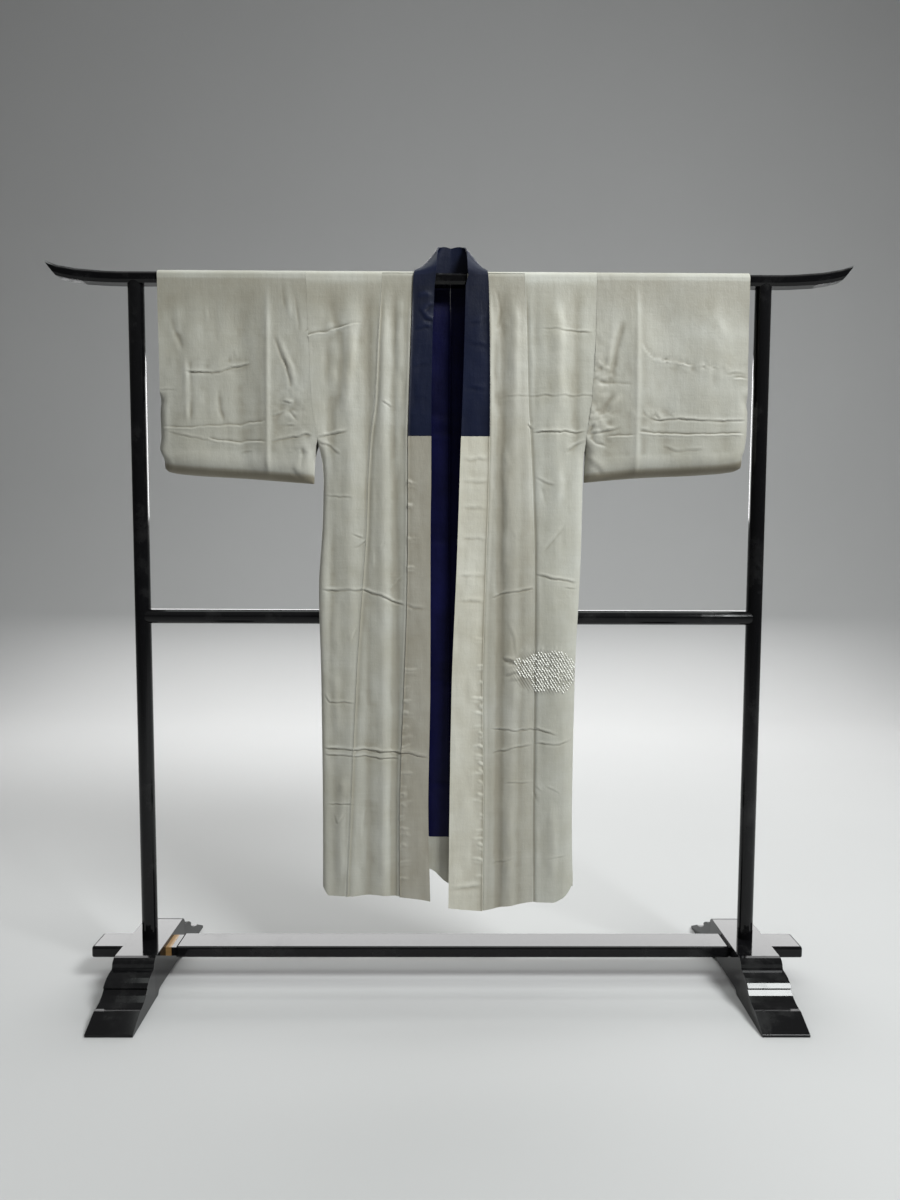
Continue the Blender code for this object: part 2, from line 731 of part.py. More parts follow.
def add_posts_and_rail(group, cutters, look):
    turn = Matrix.Rotation(math.radians(90.0), 4, "Y")
    matrix = Matrix.Translation((0.0, 0.0, RAIL_Z)) @ turn
    length = 2.0 * (POST_X - 0.5 * POST_RADIUS)
    rail_form = round_form(RAIL_RADIUS, length, RAIL_SIDES, matrix)
    rail = add_object("mid_rail", rail_form, group, look)
    for side, sign in SIGN.items():
        post = upright_form(sign * POST_X, POST_RADIUS, FOOT_TOP + GAP, POST_TOP)
        round_shading(add_object(f"post_{side}", post, group, look))
        low = RAIL_Z - CUTTER_REACH
        seat = upright_form(sign * POST_X, POST_RADIUS + GAP, low, RAIL_Z + CUTTER_REACH)
        cut(rail, make_cutter(f"rail_seat_{side}", seat, cutters))
    round_shading(rail)


def arc(centre, radii, start, end, steps):
    """Points of an elliptic arc, with both ends, for angles in degrees."""
    points = []
    for angle in np.radians(np.linspace(start, end, steps + 1)):
        points.append((centre[0] + radii[0] * math.cos(angle), centre[1] + radii[1] * math.sin(angle)))
    return points


def foot_outline():
    """Half of the foot seen from the side, from the middle of its top to the middle below."""
    nose = arc((0.088, 0.0765), (0.018, FOOT_TOP - 0.0765), 90.0, 0.0, 4)
    belly = arc((0.106, 0.0300), (0.055, 0.0430), 88.0, 35.0, 4)
    hollow = arc((0.200, 0.0720), (0.060, 0.0430), 208.0, 257.0, 3)
    toe = [(0.1945, 0.0300), (FOOT_HALF_LENGTH, 0.0055), (FOOT_HALF_LENGTH, 0.0)]
    rise = arc((0.086, 0.0050), (0.0070, 0.0050), 270.0, 180.0, 2)
    crown = arc((0.070, 0.0050), (0.0090, 0.0060), 0.0, 90.0, 2)
    return nose + belly + hollow + toe + rise + crown


def add_feet(group, cutters, look):
    half = foot_outline()
    outline = half + [(-y, z) for y, z in reversed(half)]
    bar_middle = BAR_TOP - 0.5 * BAR_THICKNESS
    for side, sign in SIGN.items():
        curve = bpy.data.curves.new(f"foot_outline_{side}", "CURVE")
        curve.dimensions = "2D"
        curve.fill_mode = "BOTH"
        curve.extrude = FOOT_HALF_WIDTH
        line = curve.splines.new("POLY")
        line.points.add(len(outline) - 1)
        for point, (y, z) in zip(line.points, outline):
            point.co = (y, z, 0.0, 1.0)
        line.use_cyclic_u = True
        guide = bpy.data.objects.new(f"foot_outline_{side}", curve)
        group.objects.link(guide)
        quarter = math.radians(90.0)
        turned = Matrix.Rotation(quarter, 4, "Z") @ Matrix.Rotation(quarter, 4, "X")
        guide.matrix_world = Matrix.Translation((sign * POST_X, 0.0, 0.0)) @ turned
        bpy.context.view_layer.update()
        ready = guide.evaluated_get(bpy.context.evaluated_depsgraph_get())
        shape = bpy.data.meshes.new_from_object(ready)
        form = bmesh.new()
        form.from_mesh(shape)
        form.transform(guide.matrix_world)
        bpy.data.objects.remove(guide, do_unlink=True)
        bmesh.ops.remove_doubles(form, verts=form.verts, dist=0.0001)
        for start in (-FOOT_FLARE_START, FOOT_FLARE_START):
            everything = form.verts[:] + form.edges[:] + form.faces[:]
            spot = (0.0, start, 0.0)
            bmesh.ops.bisect_plane(form, geom=everything, plane_co=spot, plane_no=(0.0, 1.0, 0.0))
        for vertex in form.verts:
            reach = (abs(vertex.co.y) - FOOT_FLARE_START) / (FOOT_HALF_LENGTH - FOOT_FLARE_START)
            flare = (FOOT_TOE_HALF_WIDTH / FOOT_HALF_WIDTH - 1.0) * max(0.0, reach)
            vertex.co.x += (vertex.co.x - sign * POST_X) * flare
        bmesh.ops.recalc_face_normals(form, faces=form.faces)
        foot = add_object(f"foot_{side}", form, group, look)
        soften(foot, FOOT_EDGE)
        deep = 0.5 * TENON_DEPTH + GAP
        tall = 0.5 * TENON_THICKNESS + GAP
        low = (sign * POST_X - CUTTER_REACH, -deep, bar_middle - tall)
        high = (sign * POST_X + CUTTER_REACH, deep, bar_middle + tall)
        mortise = box_form(low, high)
        cut(foot, make_cutter(f"mortise_{side}", mortise, cutters))
        round_shading(foot)


def add_base_bar(group, cutters, look):
    """The bar between the feet with its tenons through them, and the blocks on the outside."""
    bottom = BAR_TOP - BAR_THICKNESS
    half = 0.5 * BAR_DEPTH
    foot_inner = POST_X - FOOT_HALF_WIDTH
    foot_outer = POST_X + FOOT_HALF_WIDTH
    bar_form = box_form((-BAR_SHOULDER_RIGHT, -half, bottom), (foot_inner - GAP, half, BAR_TOP))
    bar = add_object("base_bar", bar_form, group, look)
    middle = 0.5 * (BAR_TOP + bottom)
    deep = 0.5 * TENON_DEPTH
    tall = 0.5 * TENON_THICKNESS
    tenon = box_form((-foot_outer, -deep, middle - tall), (foot_outer, deep, middle + tall))
    soften(bar, BAR_EDGE)
    cut(bar, make_cutter("tenons", tenon, cutters), "UNION")
    for side, sign in SIGN.items():
        near = sign * (foot_outer + GAP)
        far = sign * BAR_END_X
        block_form = box_form((min(near, far), -half, bottom), (max(near, far), half, BAR_TOP))
        block = add_object(f"bar_end_{side}", block_form, group, look)
        soften(block, BAR_EDGE)


def main():
    clear_scene()
    group = make_collection("kimono_on_stand")
    cutters = make_collection("cutters")
    looks = {name: make_look(name) for name in LOOKS}
    add_beam(group, cutters, looks["lacquer"])
    add_posts_and_rail(group, cutters, looks["lacquer"])
    add_feet(group, cutters, looks["lacquer"])
    add_base_bar(group, cutters, looks["lacquer"])
    for side in SIGN:
        add_body(side, group, looks["silk"])
        add_gore(side, group, looks["silk"])
        add_sleeve(side, group, looks["silk"])
        add_band(side, group, looks["silk"])
        add_lining(side, group, looks["lining_silk"])
        add_facing(side, group, looks["silk"])
    add_collar(group, looks["satin"])


main()
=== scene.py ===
"""Looks of a silk kimono that hangs over the top bar of a lacquered kimono stand.

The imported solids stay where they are. The stand's solids get lacquer and wood, and each sewn
piece of the kimono is a fine cloth surface on the same lines as its solid, with its creases.
Metres throughout. The wearer's left is at +X, and the garment's front faces -Y.
"""

import math

import bmesh
import bpy
import numpy as np
from mathutils import Matrix, Vector


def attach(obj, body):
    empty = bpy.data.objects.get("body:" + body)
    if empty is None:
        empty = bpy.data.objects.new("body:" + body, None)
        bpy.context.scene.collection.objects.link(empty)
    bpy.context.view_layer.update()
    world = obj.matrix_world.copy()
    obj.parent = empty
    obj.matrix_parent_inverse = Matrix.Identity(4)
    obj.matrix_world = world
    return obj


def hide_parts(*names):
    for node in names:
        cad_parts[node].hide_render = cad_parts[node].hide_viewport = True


bl_info = {
    "name": "Silk kimono on a stand",
    "version": (1, 0, 0),
    "blender": (4, 5, 0),
    "location": "View3D > Sidebar > Kimono",
    "description": "Builds the cloth, the lacquer and the studio round the packed solids",
    "category": "Object",
}

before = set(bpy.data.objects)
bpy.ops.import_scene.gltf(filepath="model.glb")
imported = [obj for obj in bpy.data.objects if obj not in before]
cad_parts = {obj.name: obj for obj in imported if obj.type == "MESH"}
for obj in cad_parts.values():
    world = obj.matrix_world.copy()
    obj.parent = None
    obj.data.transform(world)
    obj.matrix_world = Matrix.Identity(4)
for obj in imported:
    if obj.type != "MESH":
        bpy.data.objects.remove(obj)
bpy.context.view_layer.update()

# The beam that the cloth hangs from
SHOULDER_Z = 1.598
RAIL_Z = 0.8455

# Walls and clearances
CLOTH_WALL = 0.0014
LINING_WALL = 0.0009
BAND_WALL = 0.0024
COLLAR_WALL = 0.0028
LAYER_GAP = 0.0006
SEAM_GAP = 0.0003
OWN_SEAM = 0.0009

# Long seams of the two fronts: distance from the middle plane at each height
SEAMS = {
    "left": {
        "z": (0.20, 0.43, 0.70, 1.00, 1.15, 1.24, 1.32, 1.46, 1.61),
        "side": (0.2845, 0.280, 0.282, 0.293, 0.2955, 0.2990, 0.310, 0.318, 0.321),
        "gore": (0.191, 0.188, 0.188, 0.186, 0.180, 0.175, 0.170, 0.166, 0.162),
        "band_outer": (0.078, 0.079, 0.076, 0.083, 0.087, 0.088, 0.088, 0.087, 0.083),
        "band_inner": (0.000, 0.002, 0.006, 0.017, 0.021, 0.024, 0.027, 0.031, 0.034),
    },
    "right": {
        "z": (0.20, 0.43, 0.70, 0.91, 1.06, 1.15, 1.24, 1.32, 1.46, 1.61),
        "side": (0.286, 0.285, 0.2865, 0.2905, 0.282, 0.280, 0.2905, 0.303, 0.310, 0.317),
        "gore": (0.229, 0.219, 0.207, 0.193, 0.183, 0.180, 0.174, 0.164, 0.157, 0.149),
        "band_outer": (0.111, 0.110, 0.101, 0.0945, 0.093, 0.093, 0.093, 0.091, 0.087, 0.081),
        "band_inner": (0.041, 0.046, 0.042, 0.042, 0.042, 0.041, 0.041, 0.041, 0.039, 0.033),
    },
}
# How far in front of or behind the beam's middle each layer hangs
BODY_DEPTH = {
    "z": (0.20, 0.60, 0.828, 0.863, 1.00, 1.24, 1.46, 1.598),
    "front": (-0.0480, -0.0475, -0.0460, -0.0458, -0.0445, -0.0400, -0.0335, -0.0232),
    "back": (-0.0175, -0.0182, -0.0185, -0.0185, -0.0110, 0.0030, 0.0155, 0.0248),
}
SLEEVE_DEPTH = {
    "z": (1.14, 1.25, 1.40, 1.598),
    "front": (-0.0350, -0.0340, -0.0305, -0.0232),
    "back": (0.0240, 0.0255, 0.0265, 0.0248),
}
# The way over the beam, from front to back
SHOULDER = {
    "y": (-0.0215, -0.0130, 0.0000, 0.0135, 0.0230),
    "z": (1.6022, 1.6078, 1.6083, 1.6078, 1.6024),
    "neck_x": (0.0720, 0.0755, 0.0775, 0.0785, 0.0790),
}
GORE_TOP = {"y": -0.0221, "z": 1.6010}
NECK_BULGE = 0.0125
NECK_BULGE_HALF_WIDTH = 0.060
NECK_BULGE_DROP = 0.090

# Lower edges: height at each place across, from the wearer's right to the left
FRONT_HEM = {
    "x": (-0.286, -0.270, -0.229, -0.178, -0.113, -0.040, 0.000, 0.076, 0.141, 0.190, 0.236, 0.256,
          0.271, 0.285),
    "z": (0.234, 0.214, 0.214, 0.217, 0.213, 0.203, 0.188, 0.182, 0.192, 0.199, 0.199, 0.207,
          0.220, 0.245),
}
BACK_HEM = {
    "x": (-0.286, -0.160, -0.044, 0.000, 0.120, 0.285),
    "z": (0.234, 0.262, 0.265, 0.233, 0.224, 0.230),
}
HEM_LEVEL = 0.200
HEM_SETTLE = 0.12
FACING_Z = 0.341
FACING_LIFT = 0.003
BAND_OVERHANG = 0.001
GORE_UNDER_BAND = 0.003

ARMPIT_Z = 1.245
SLEEVE_Z = 1.145
SLEEVE_SETTLE_TOP = 1.265
SLEEVES = {
    "left": {
        "z": (1.147, 1.190, 1.215, 1.236),
        "free": (0.2990, 0.3000, 0.3010, 0.3005),
        "cuff_z": (1.180, 1.198, 1.2535, 1.300, 1.345, 1.610),
        "cuff": (0.6535, 0.6585, 0.6625, 0.6635, 0.6555, 0.6570),
        "bottom_x": (0.299, 0.428, 0.563, 0.631, 0.651, 0.6590),
        "bottom_z": (1.149, 1.1610, 1.1680, 1.175, 1.183, 1.195),
    },
    "right": {
        "z": (1.142, 1.190, 1.215, 1.236),
        "free": (0.3020, 0.3000, 0.2965, 0.2940),
        "cuff_z": (1.172, 1.196, 1.237, 1.300, 1.345, 1.610),
        "cuff": (0.6360, 0.6455, 0.6420, 0.6430, 0.6370, 0.6410),
        "bottom_x": (0.304, 0.337, 0.449, 0.583, 0.626, 0.6460),
        "bottom_z": (1.144, 1.1465, 1.1555, 1.1635, 1.170, 1.191),
    },
}
CUFF_OPEN_Z = 1.345
SIDE_CLOSES_OVER = 0.050
SLEEVE_LEAVES_OVER = 0.020
SLEEVE_CLOSES_OVER = 0.045
CUFF_CLOSES_OVER = 0.030
SLEEVE_BLEND = 0.160
SIDE_TURN = 0.024
UNDERSIDE_TURN = 0.050

# The collar above the front: its sewn edge and its free edge, from the shoulder to the back
BAND_JOIN_Z = 1.247
COLLAR_TOP_Z = 1.575
NECK_MIDDLE_X = 0.001
COLLAR_TURN = {
    "sewn_x": (0.0815, 0.0800, 0.0790, 0.0782, 0.0775, 0.0757, 0.0660, 0.0400, 0.0000),
    "sewn_y": (-0.0264, -0.0238, -0.0139, 0.0000, 0.0140, 0.0250, 0.0312, 0.0356, 0.0376),
    "sewn_z": (1.5970, 1.6043, 1.6106, 1.6112, 1.6106, 1.6058, 1.6012, 1.5996, 1.5993),
    "free_x": (0.0330, 0.0318, 0.0310, 0.0302, 0.0295, 0.0280, 0.0235, 0.0140, 0.0000),
    "free_y": (-0.0268, -0.0264, -0.0195, -0.0065, 0.0085, 0.0215, 0.0300, 0.0340, 0.0360),
    "free_z": (1.5970, 1.6100, 1.6290, 1.6485, 1.6630, 1.6715, 1.6760, 1.6780, 1.6750),
}
COLLAR_SPREAD = {"left": 1.15, "right": 1.0}

SIGN = {"left": 1.0, "right": -1.0}

# Upright folds: distance from the middle plane, how far they stand out, half width
FRONT_FOLDS = {
    "left": {
        "x": (0.112, 0.142, 0.186, 0.235, 0.276),
        "lift": (-0.0040, 0.0030, -0.0018, 0.0030, -0.0020),
        "spread": (0.012, 0.014, 0.010, 0.022, 0.012),
    },
    "right": {
        "x": (0.120, 0.146, 0.180, 0.218, 0.262),
        "lift": (-0.0040, 0.0030, -0.0018, 0.0040, -0.0030),
        "spread": (0.013, 0.013, 0.010, 0.018, 0.014),
    },
}
BACK_FOLDS = {
    "left": {
        "x": (0.055, 0.130, 0.205),
        "lift": (0.0025, -0.0025, 0.0030),
        "spread": (0.022, 0.026, 0.024),
    },
    "right": {
        "x": (0.065, 0.150, 0.225),
        "lift": (0.0030, -0.0030, 0.0025),
        "spread": (0.024, 0.026, 0.022),
    },
}
SLEEVE_FOLDS = {
    "left": {
        "x": (0.411, 0.470, 0.570),
        "lift": (0.0015, -0.0030, 0.0030),
        "spread": (0.005, 0.035, 0.040),
    },
    "right": {
        "x": (0.400, 0.460, 0.560),
        "lift": (0.0015, -0.0030, 0.0035),
        "spread": (0.005, 0.030, 0.040),
    },
}
FOLD_START_DROP = 0.130
RAIL_CALM = 0.100

# A crease is a soft ridge (lift above zero) or trough. Each row below holds its path of (x, z)
# points, its lift, its width and its shadow: the trough beside the ridge, as a share of the lift,
# below the path where it is positive.
# Where a crease dies out at its ends, and how much its far flank stands out, as a share of its lift
CREASE_END = 0.020
CREASE_FLANK = 0.55
# How far a path wanders, the size of a wave of it across and up, and how uneven a crease's lift is
CREASE_WANDER = 0.0022
WANDER_WAVES = ((1.0, 0.021, 0.050, 83), (0.5, 0.009, 0.03, 89))
CREASE_SWING = 0.45
SWING_WAVE = 0.026
# Rows run closer together by this factor within this reach of a level crease
ROW_DENSITY = 2.6
ROW_REACH = 0.006
LEVEL_CREASE_RISE = 0.045
LEVEL_CREASE_SLOPE = 1.2

RIGHT_FRONT_CREASES = (
    (((-0.326, 1.456), (-0.307, 1.462), (-0.246, 1.479), (-0.194, 1.490)), 0.0021, 0.0023, -0.9),
    (((-0.291, 1.244), (-0.258, 1.252), (-0.225, 1.263)), 0.0018, 0.0026, 0.8),
    (((-0.292, 1.236), (-0.262, 1.226), (-0.238, 1.205)), 0.0014, 0.0028, 0.6),
    (((-0.149, 1.328), (-0.127, 1.309)), 0.0011, 0.0021, 0.8),
    (((-0.285, 1.118), (-0.211, 1.116)), 0.0008, 0.0023, 0.7),
    (((-0.215, 1.037), (-0.189, 1.024)), 0.0012, 0.0021, 0.8),
    (((-0.211, 1.004), (-0.184, 1.020)), 0.0014, 0.0021, 0.8),
    (((-0.145, 1.021), (-0.156, 1.000)), 0.0010, 0.0021, 0.6),
    (((-0.168, 0.997), (-0.169, 0.955)), 0.0009, 0.0023, 0.0),
    (((-0.287, 0.913), (-0.196, 0.911), (-0.152, 0.898), (-0.096, 0.878)), 0.0017, 0.0026, 0.8),
    (((-0.107, 0.940), (-0.141, 0.907)), 0.0009, 0.0023, 0.6),
    (((-0.207, 0.827), (-0.223, 0.796)), 0.0011, 0.0023, 0.6),
    (((-0.279, 0.678), (-0.266, 0.660), (-0.208, 0.658)), 0.0012, 0.0023, 0.8),
    (((-0.282, 0.557), (-0.233, 0.555), (-0.105, 0.548), (-0.047, 0.536)), 0.0021, 0.0023, 0.9),
    (((-0.282, 0.542), (-0.233, 0.540), (-0.110, 0.533)), 0.0015, 0.0021, 0.8),
    (((-0.277, 0.428), (-0.209, 0.428)), 0.0011, 0.0021, 0.8),
    (((-0.256, 0.405), (-0.250, 0.384), (-0.236, 0.405)), 0.0008, 0.0023, 0.5),
    (((-0.191, 0.419), (-0.196, 0.379), (-0.198, 0.342)), 0.0009, 0.0023, 0.4),
    (((-0.270, 1.560), (-0.255, 1.420), (-0.262, 1.300)), 0.0029, 0.0110, 0.0),
    (((-0.205, 1.560), (-0.222, 1.380), (-0.232, 1.280)), 0.0023, 0.0120, 0.0),
    (((-0.112, 1.570), (-0.115, 1.380), (-0.118, 1.150)), 0.0023, 0.0090, 0.0),
    (((-0.250, 0.880), (-0.256, 0.720), (-0.250, 0.580)), 0.0026, 0.0110, 0.0),
    (((-0.235, 0.520), (-0.242, 0.380), (-0.240, 0.240)), 0.0029, 0.0110, 0.0),
    (((-0.140, 0.520), (-0.146, 0.380), (-0.144, 0.240)), 0.0021, 0.0100, 0.0),
)
LEFT_FRONT_CREASES = (
    (((0.089, 1.589), (0.103, 1.555), (0.110, 1.517), (0.101, 1.475)), -0.0021, 0.0031, 0.0),
    (((0.101, 1.475), (0.097, 1.390), (0.105, 1.286)), -0.0020, 0.0068, 0.0),
    (((0.199, 1.484), (0.238, 1.482), (0.273, 1.478), (0.310, 1.478)), 0.0011, 0.0021, 0.8),
    (((0.120, 1.338), (0.327, 1.339)), 0.0007, 0.0023, 0.8),
    (((0.171, 1.276), (0.182, 1.263)), 0.0012, 0.0021, 0.6),
    (((0.182, 1.259), (0.240, 1.260), (0.298, 1.259)), 0.0015, 0.0021, 0.9),
    (((0.298, 1.240), (0.272, 1.231), (0.250, 1.212)), 0.0015, 0.0028, 0.6),
    (((0.187, 1.163), (0.234, 1.139)), 0.0012, 0.0028, 0.6),
    (((0.201, 1.139), (0.214, 1.096)), -0.0012, 0.0028, 0.0),
    (((0.202, 0.994), (0.226, 1.023), (0.250, 1.052)), 0.0017, 0.0031, 0.7),
    (((0.138, 1.043), (0.149, 1.023)), 0.0011, 0.0021, 0.5),
    (((0.189, 0.948), (0.223, 0.941), (0.258, 0.935), (0.285, 0.930)), 0.0014, 0.0026, 0.8),
    (((0.252, 0.917), (0.287, 0.917)), 0.0009, 0.0021, 0.7),
    (((0.088, 0.892), (0.125, 0.906), (0.188, 0.915)), 0.0015, 0.0023, 0.8),
    (((0.128, 0.845), (0.146, 0.807), (0.151, 0.760)), 0.0012, 0.0028, 0.5),
    (((0.094, 0.598), (0.209, 0.598), (0.245, 0.584)), 0.0015, 0.0023, 0.8),
    (((0.191, 0.568), (0.245, 0.564), (0.274, 0.577)), 0.0012, 0.0023, 0.8),
    (((0.095, 0.545), (0.151, 0.559), (0.187, 0.566)), 0.0012, 0.0023, 0.8),
    (((0.125, 0.477), (0.188, 0.478)), 0.0012, 0.0021, 0.8),
    (((0.192, 0.474), (0.211, 0.456)), 0.0009, 0.0021, 0.5),
    (((0.217, 0.472), (0.253, 0.454)), 0.0011, 0.0023, 0.6),
    (((0.190, 0.455), (0.203, 0.428)), -0.0012, 0.0026, 0.0),
    (((0.097, 0.292), (0.153, 0.306)), 0.0008, 0.0023, 0.6),
    (((0.219, 0.304), (0.267, 0.311)), 0.0008, 0.0023, 0.6),
    (((0.140, 1.560), (0.146, 1.400), (0.140, 1.280)), 0.0023, 0.0110, 0.0),
    (((0.235, 1.560), (0.240, 1.400), (0.246, 1.290)), 0.0026, 0.0130, 0.0),
    (((0.120, 1.240), (0.128, 1.100), (0.122, 0.940)), 0.0021, 0.0100, 0.0),
    (((0.245, 1.200), (0.238, 1.090)), 0.0023, 0.0110, 0.0),
    (((0.150, 0.740), (0.148, 0.640)), 0.0018, 0.0100, 0.0),
    (((0.235, 0.440), (0.240, 0.340), (0.238, 0.230)), 0.0026, 0.0120, 0.0),
    (((0.135, 0.440), (0.138, 0.320), (0.134, 0.230)), 0.0021, 0.0110, 0.0),
)
BAND_CREASES = {
    "left": (
        (((0.028, 1.200), (0.084, 1.200)), 0.0009, 0.0039, 0.7),
        (((0.026, 1.152), (0.084, 1.150)), 0.0009, 0.0039, 0.7),
        (((0.024, 1.096), (0.082, 1.094)), 0.0008, 0.0039, 0.7),
        (((0.022, 1.027), (0.080, 1.026)), 0.0009, 0.0039, 0.7),
        (((0.020, 0.945), (0.080, 0.944)), 0.0009, 0.0039, 0.7),
        (((0.018, 0.888), (0.080, 0.888)), 0.0010, 0.0039, 0.7),
        (((0.000, 0.236), (0.040, 0.238), (0.076, 0.245)), 0.0015, 0.0047, 0.8),
    ),
    "right": (
        (((-0.096, 0.882), (-0.078, 0.874), (-0.050, 0.872)), 0.0010, 0.0035, 0.7),
    ),
}
# Small tucks by the bands' outer seams: where each starts and ends
BAND_TUCKS = {
    "left": (
        ((0.066, 0.708), (0.076, 0.700)), ((0.066, 0.670), (0.076, 0.662)),
        ((0.066, 0.652), (0.076, 0.646)), ((0.064, 0.594), (0.077, 0.586)),
        ((0.064, 0.565), (0.078, 0.557)), ((0.064, 0.526), (0.078, 0.518)),
        ((0.064, 0.508), (0.078, 0.500)), ((0.064, 0.481), (0.078, 0.474)),
        ((0.064, 0.452), (0.078, 0.444)), ((0.064, 0.340), (0.078, 0.333)),
        ((0.064, 0.304), (0.078, 0.297)),
    ),
    "right": (
        ((-0.093, 1.150), (-0.083, 1.143)), ((-0.094, 1.098), (-0.084, 1.090)),
        ((-0.094, 1.028), (-0.085, 1.020)), ((-0.101, 0.662), (-0.090, 0.654)),
        ((-0.102, 0.638), (-0.090, 0.632)), ((-0.103, 0.608), (-0.088, 0.600)),
        ((-0.107, 0.455), (-0.094, 0.447)), ((-0.108, 0.430), (-0.095, 0.422)),
        ((-0.108, 0.376), (-0.094, 0.368)), ((-0.108, 0.340), (-0.094, 0.332)),
    ),
}
TUCK_LIFT = 0.0013
TUCK_WIDTH = 0.0031
COLLAR_CREASES = (
    (((-0.062, 1.519), (-0.050, 1.530), (-0.036, 1.537)), 0.0012, 0.0036, 0.8),
    (((-0.074, 1.547), (-0.055, 1.556), (-0.038, 1.552)), 0.0011, 0.0060, 0.0),
    (((-0.060, 1.503), (-0.036, 1.501)), 0.0012, 0.0034, 0.9),
    (((-0.078, 1.477), (-0.055, 1.488), (-0.038, 1.484)), 0.0012, 0.0036, 0.9),
    (((-0.070, 1.530), (-0.052, 1.508), (-0.040, 1.496)), 0.0008, 0.0044, 0.5),
    (((-0.084, 1.400), (-0.045, 1.410)), 0.0005, 0.0050, 0.6),
    (((-0.082, 1.330), (-0.046, 1.336)), 0.0004, 0.0050, 0.6),
    (((0.040, 1.496), (0.062, 1.500), (0.080, 1.512)), 0.0006, 0.0050, 0.6),
    (((0.036, 1.452), (0.082, 1.447)), 0.0005, 0.0050, 0.6),
    (((0.036, 1.360), (0.082, 1.352)), 0.0005, 0.0050, 0.6),
)
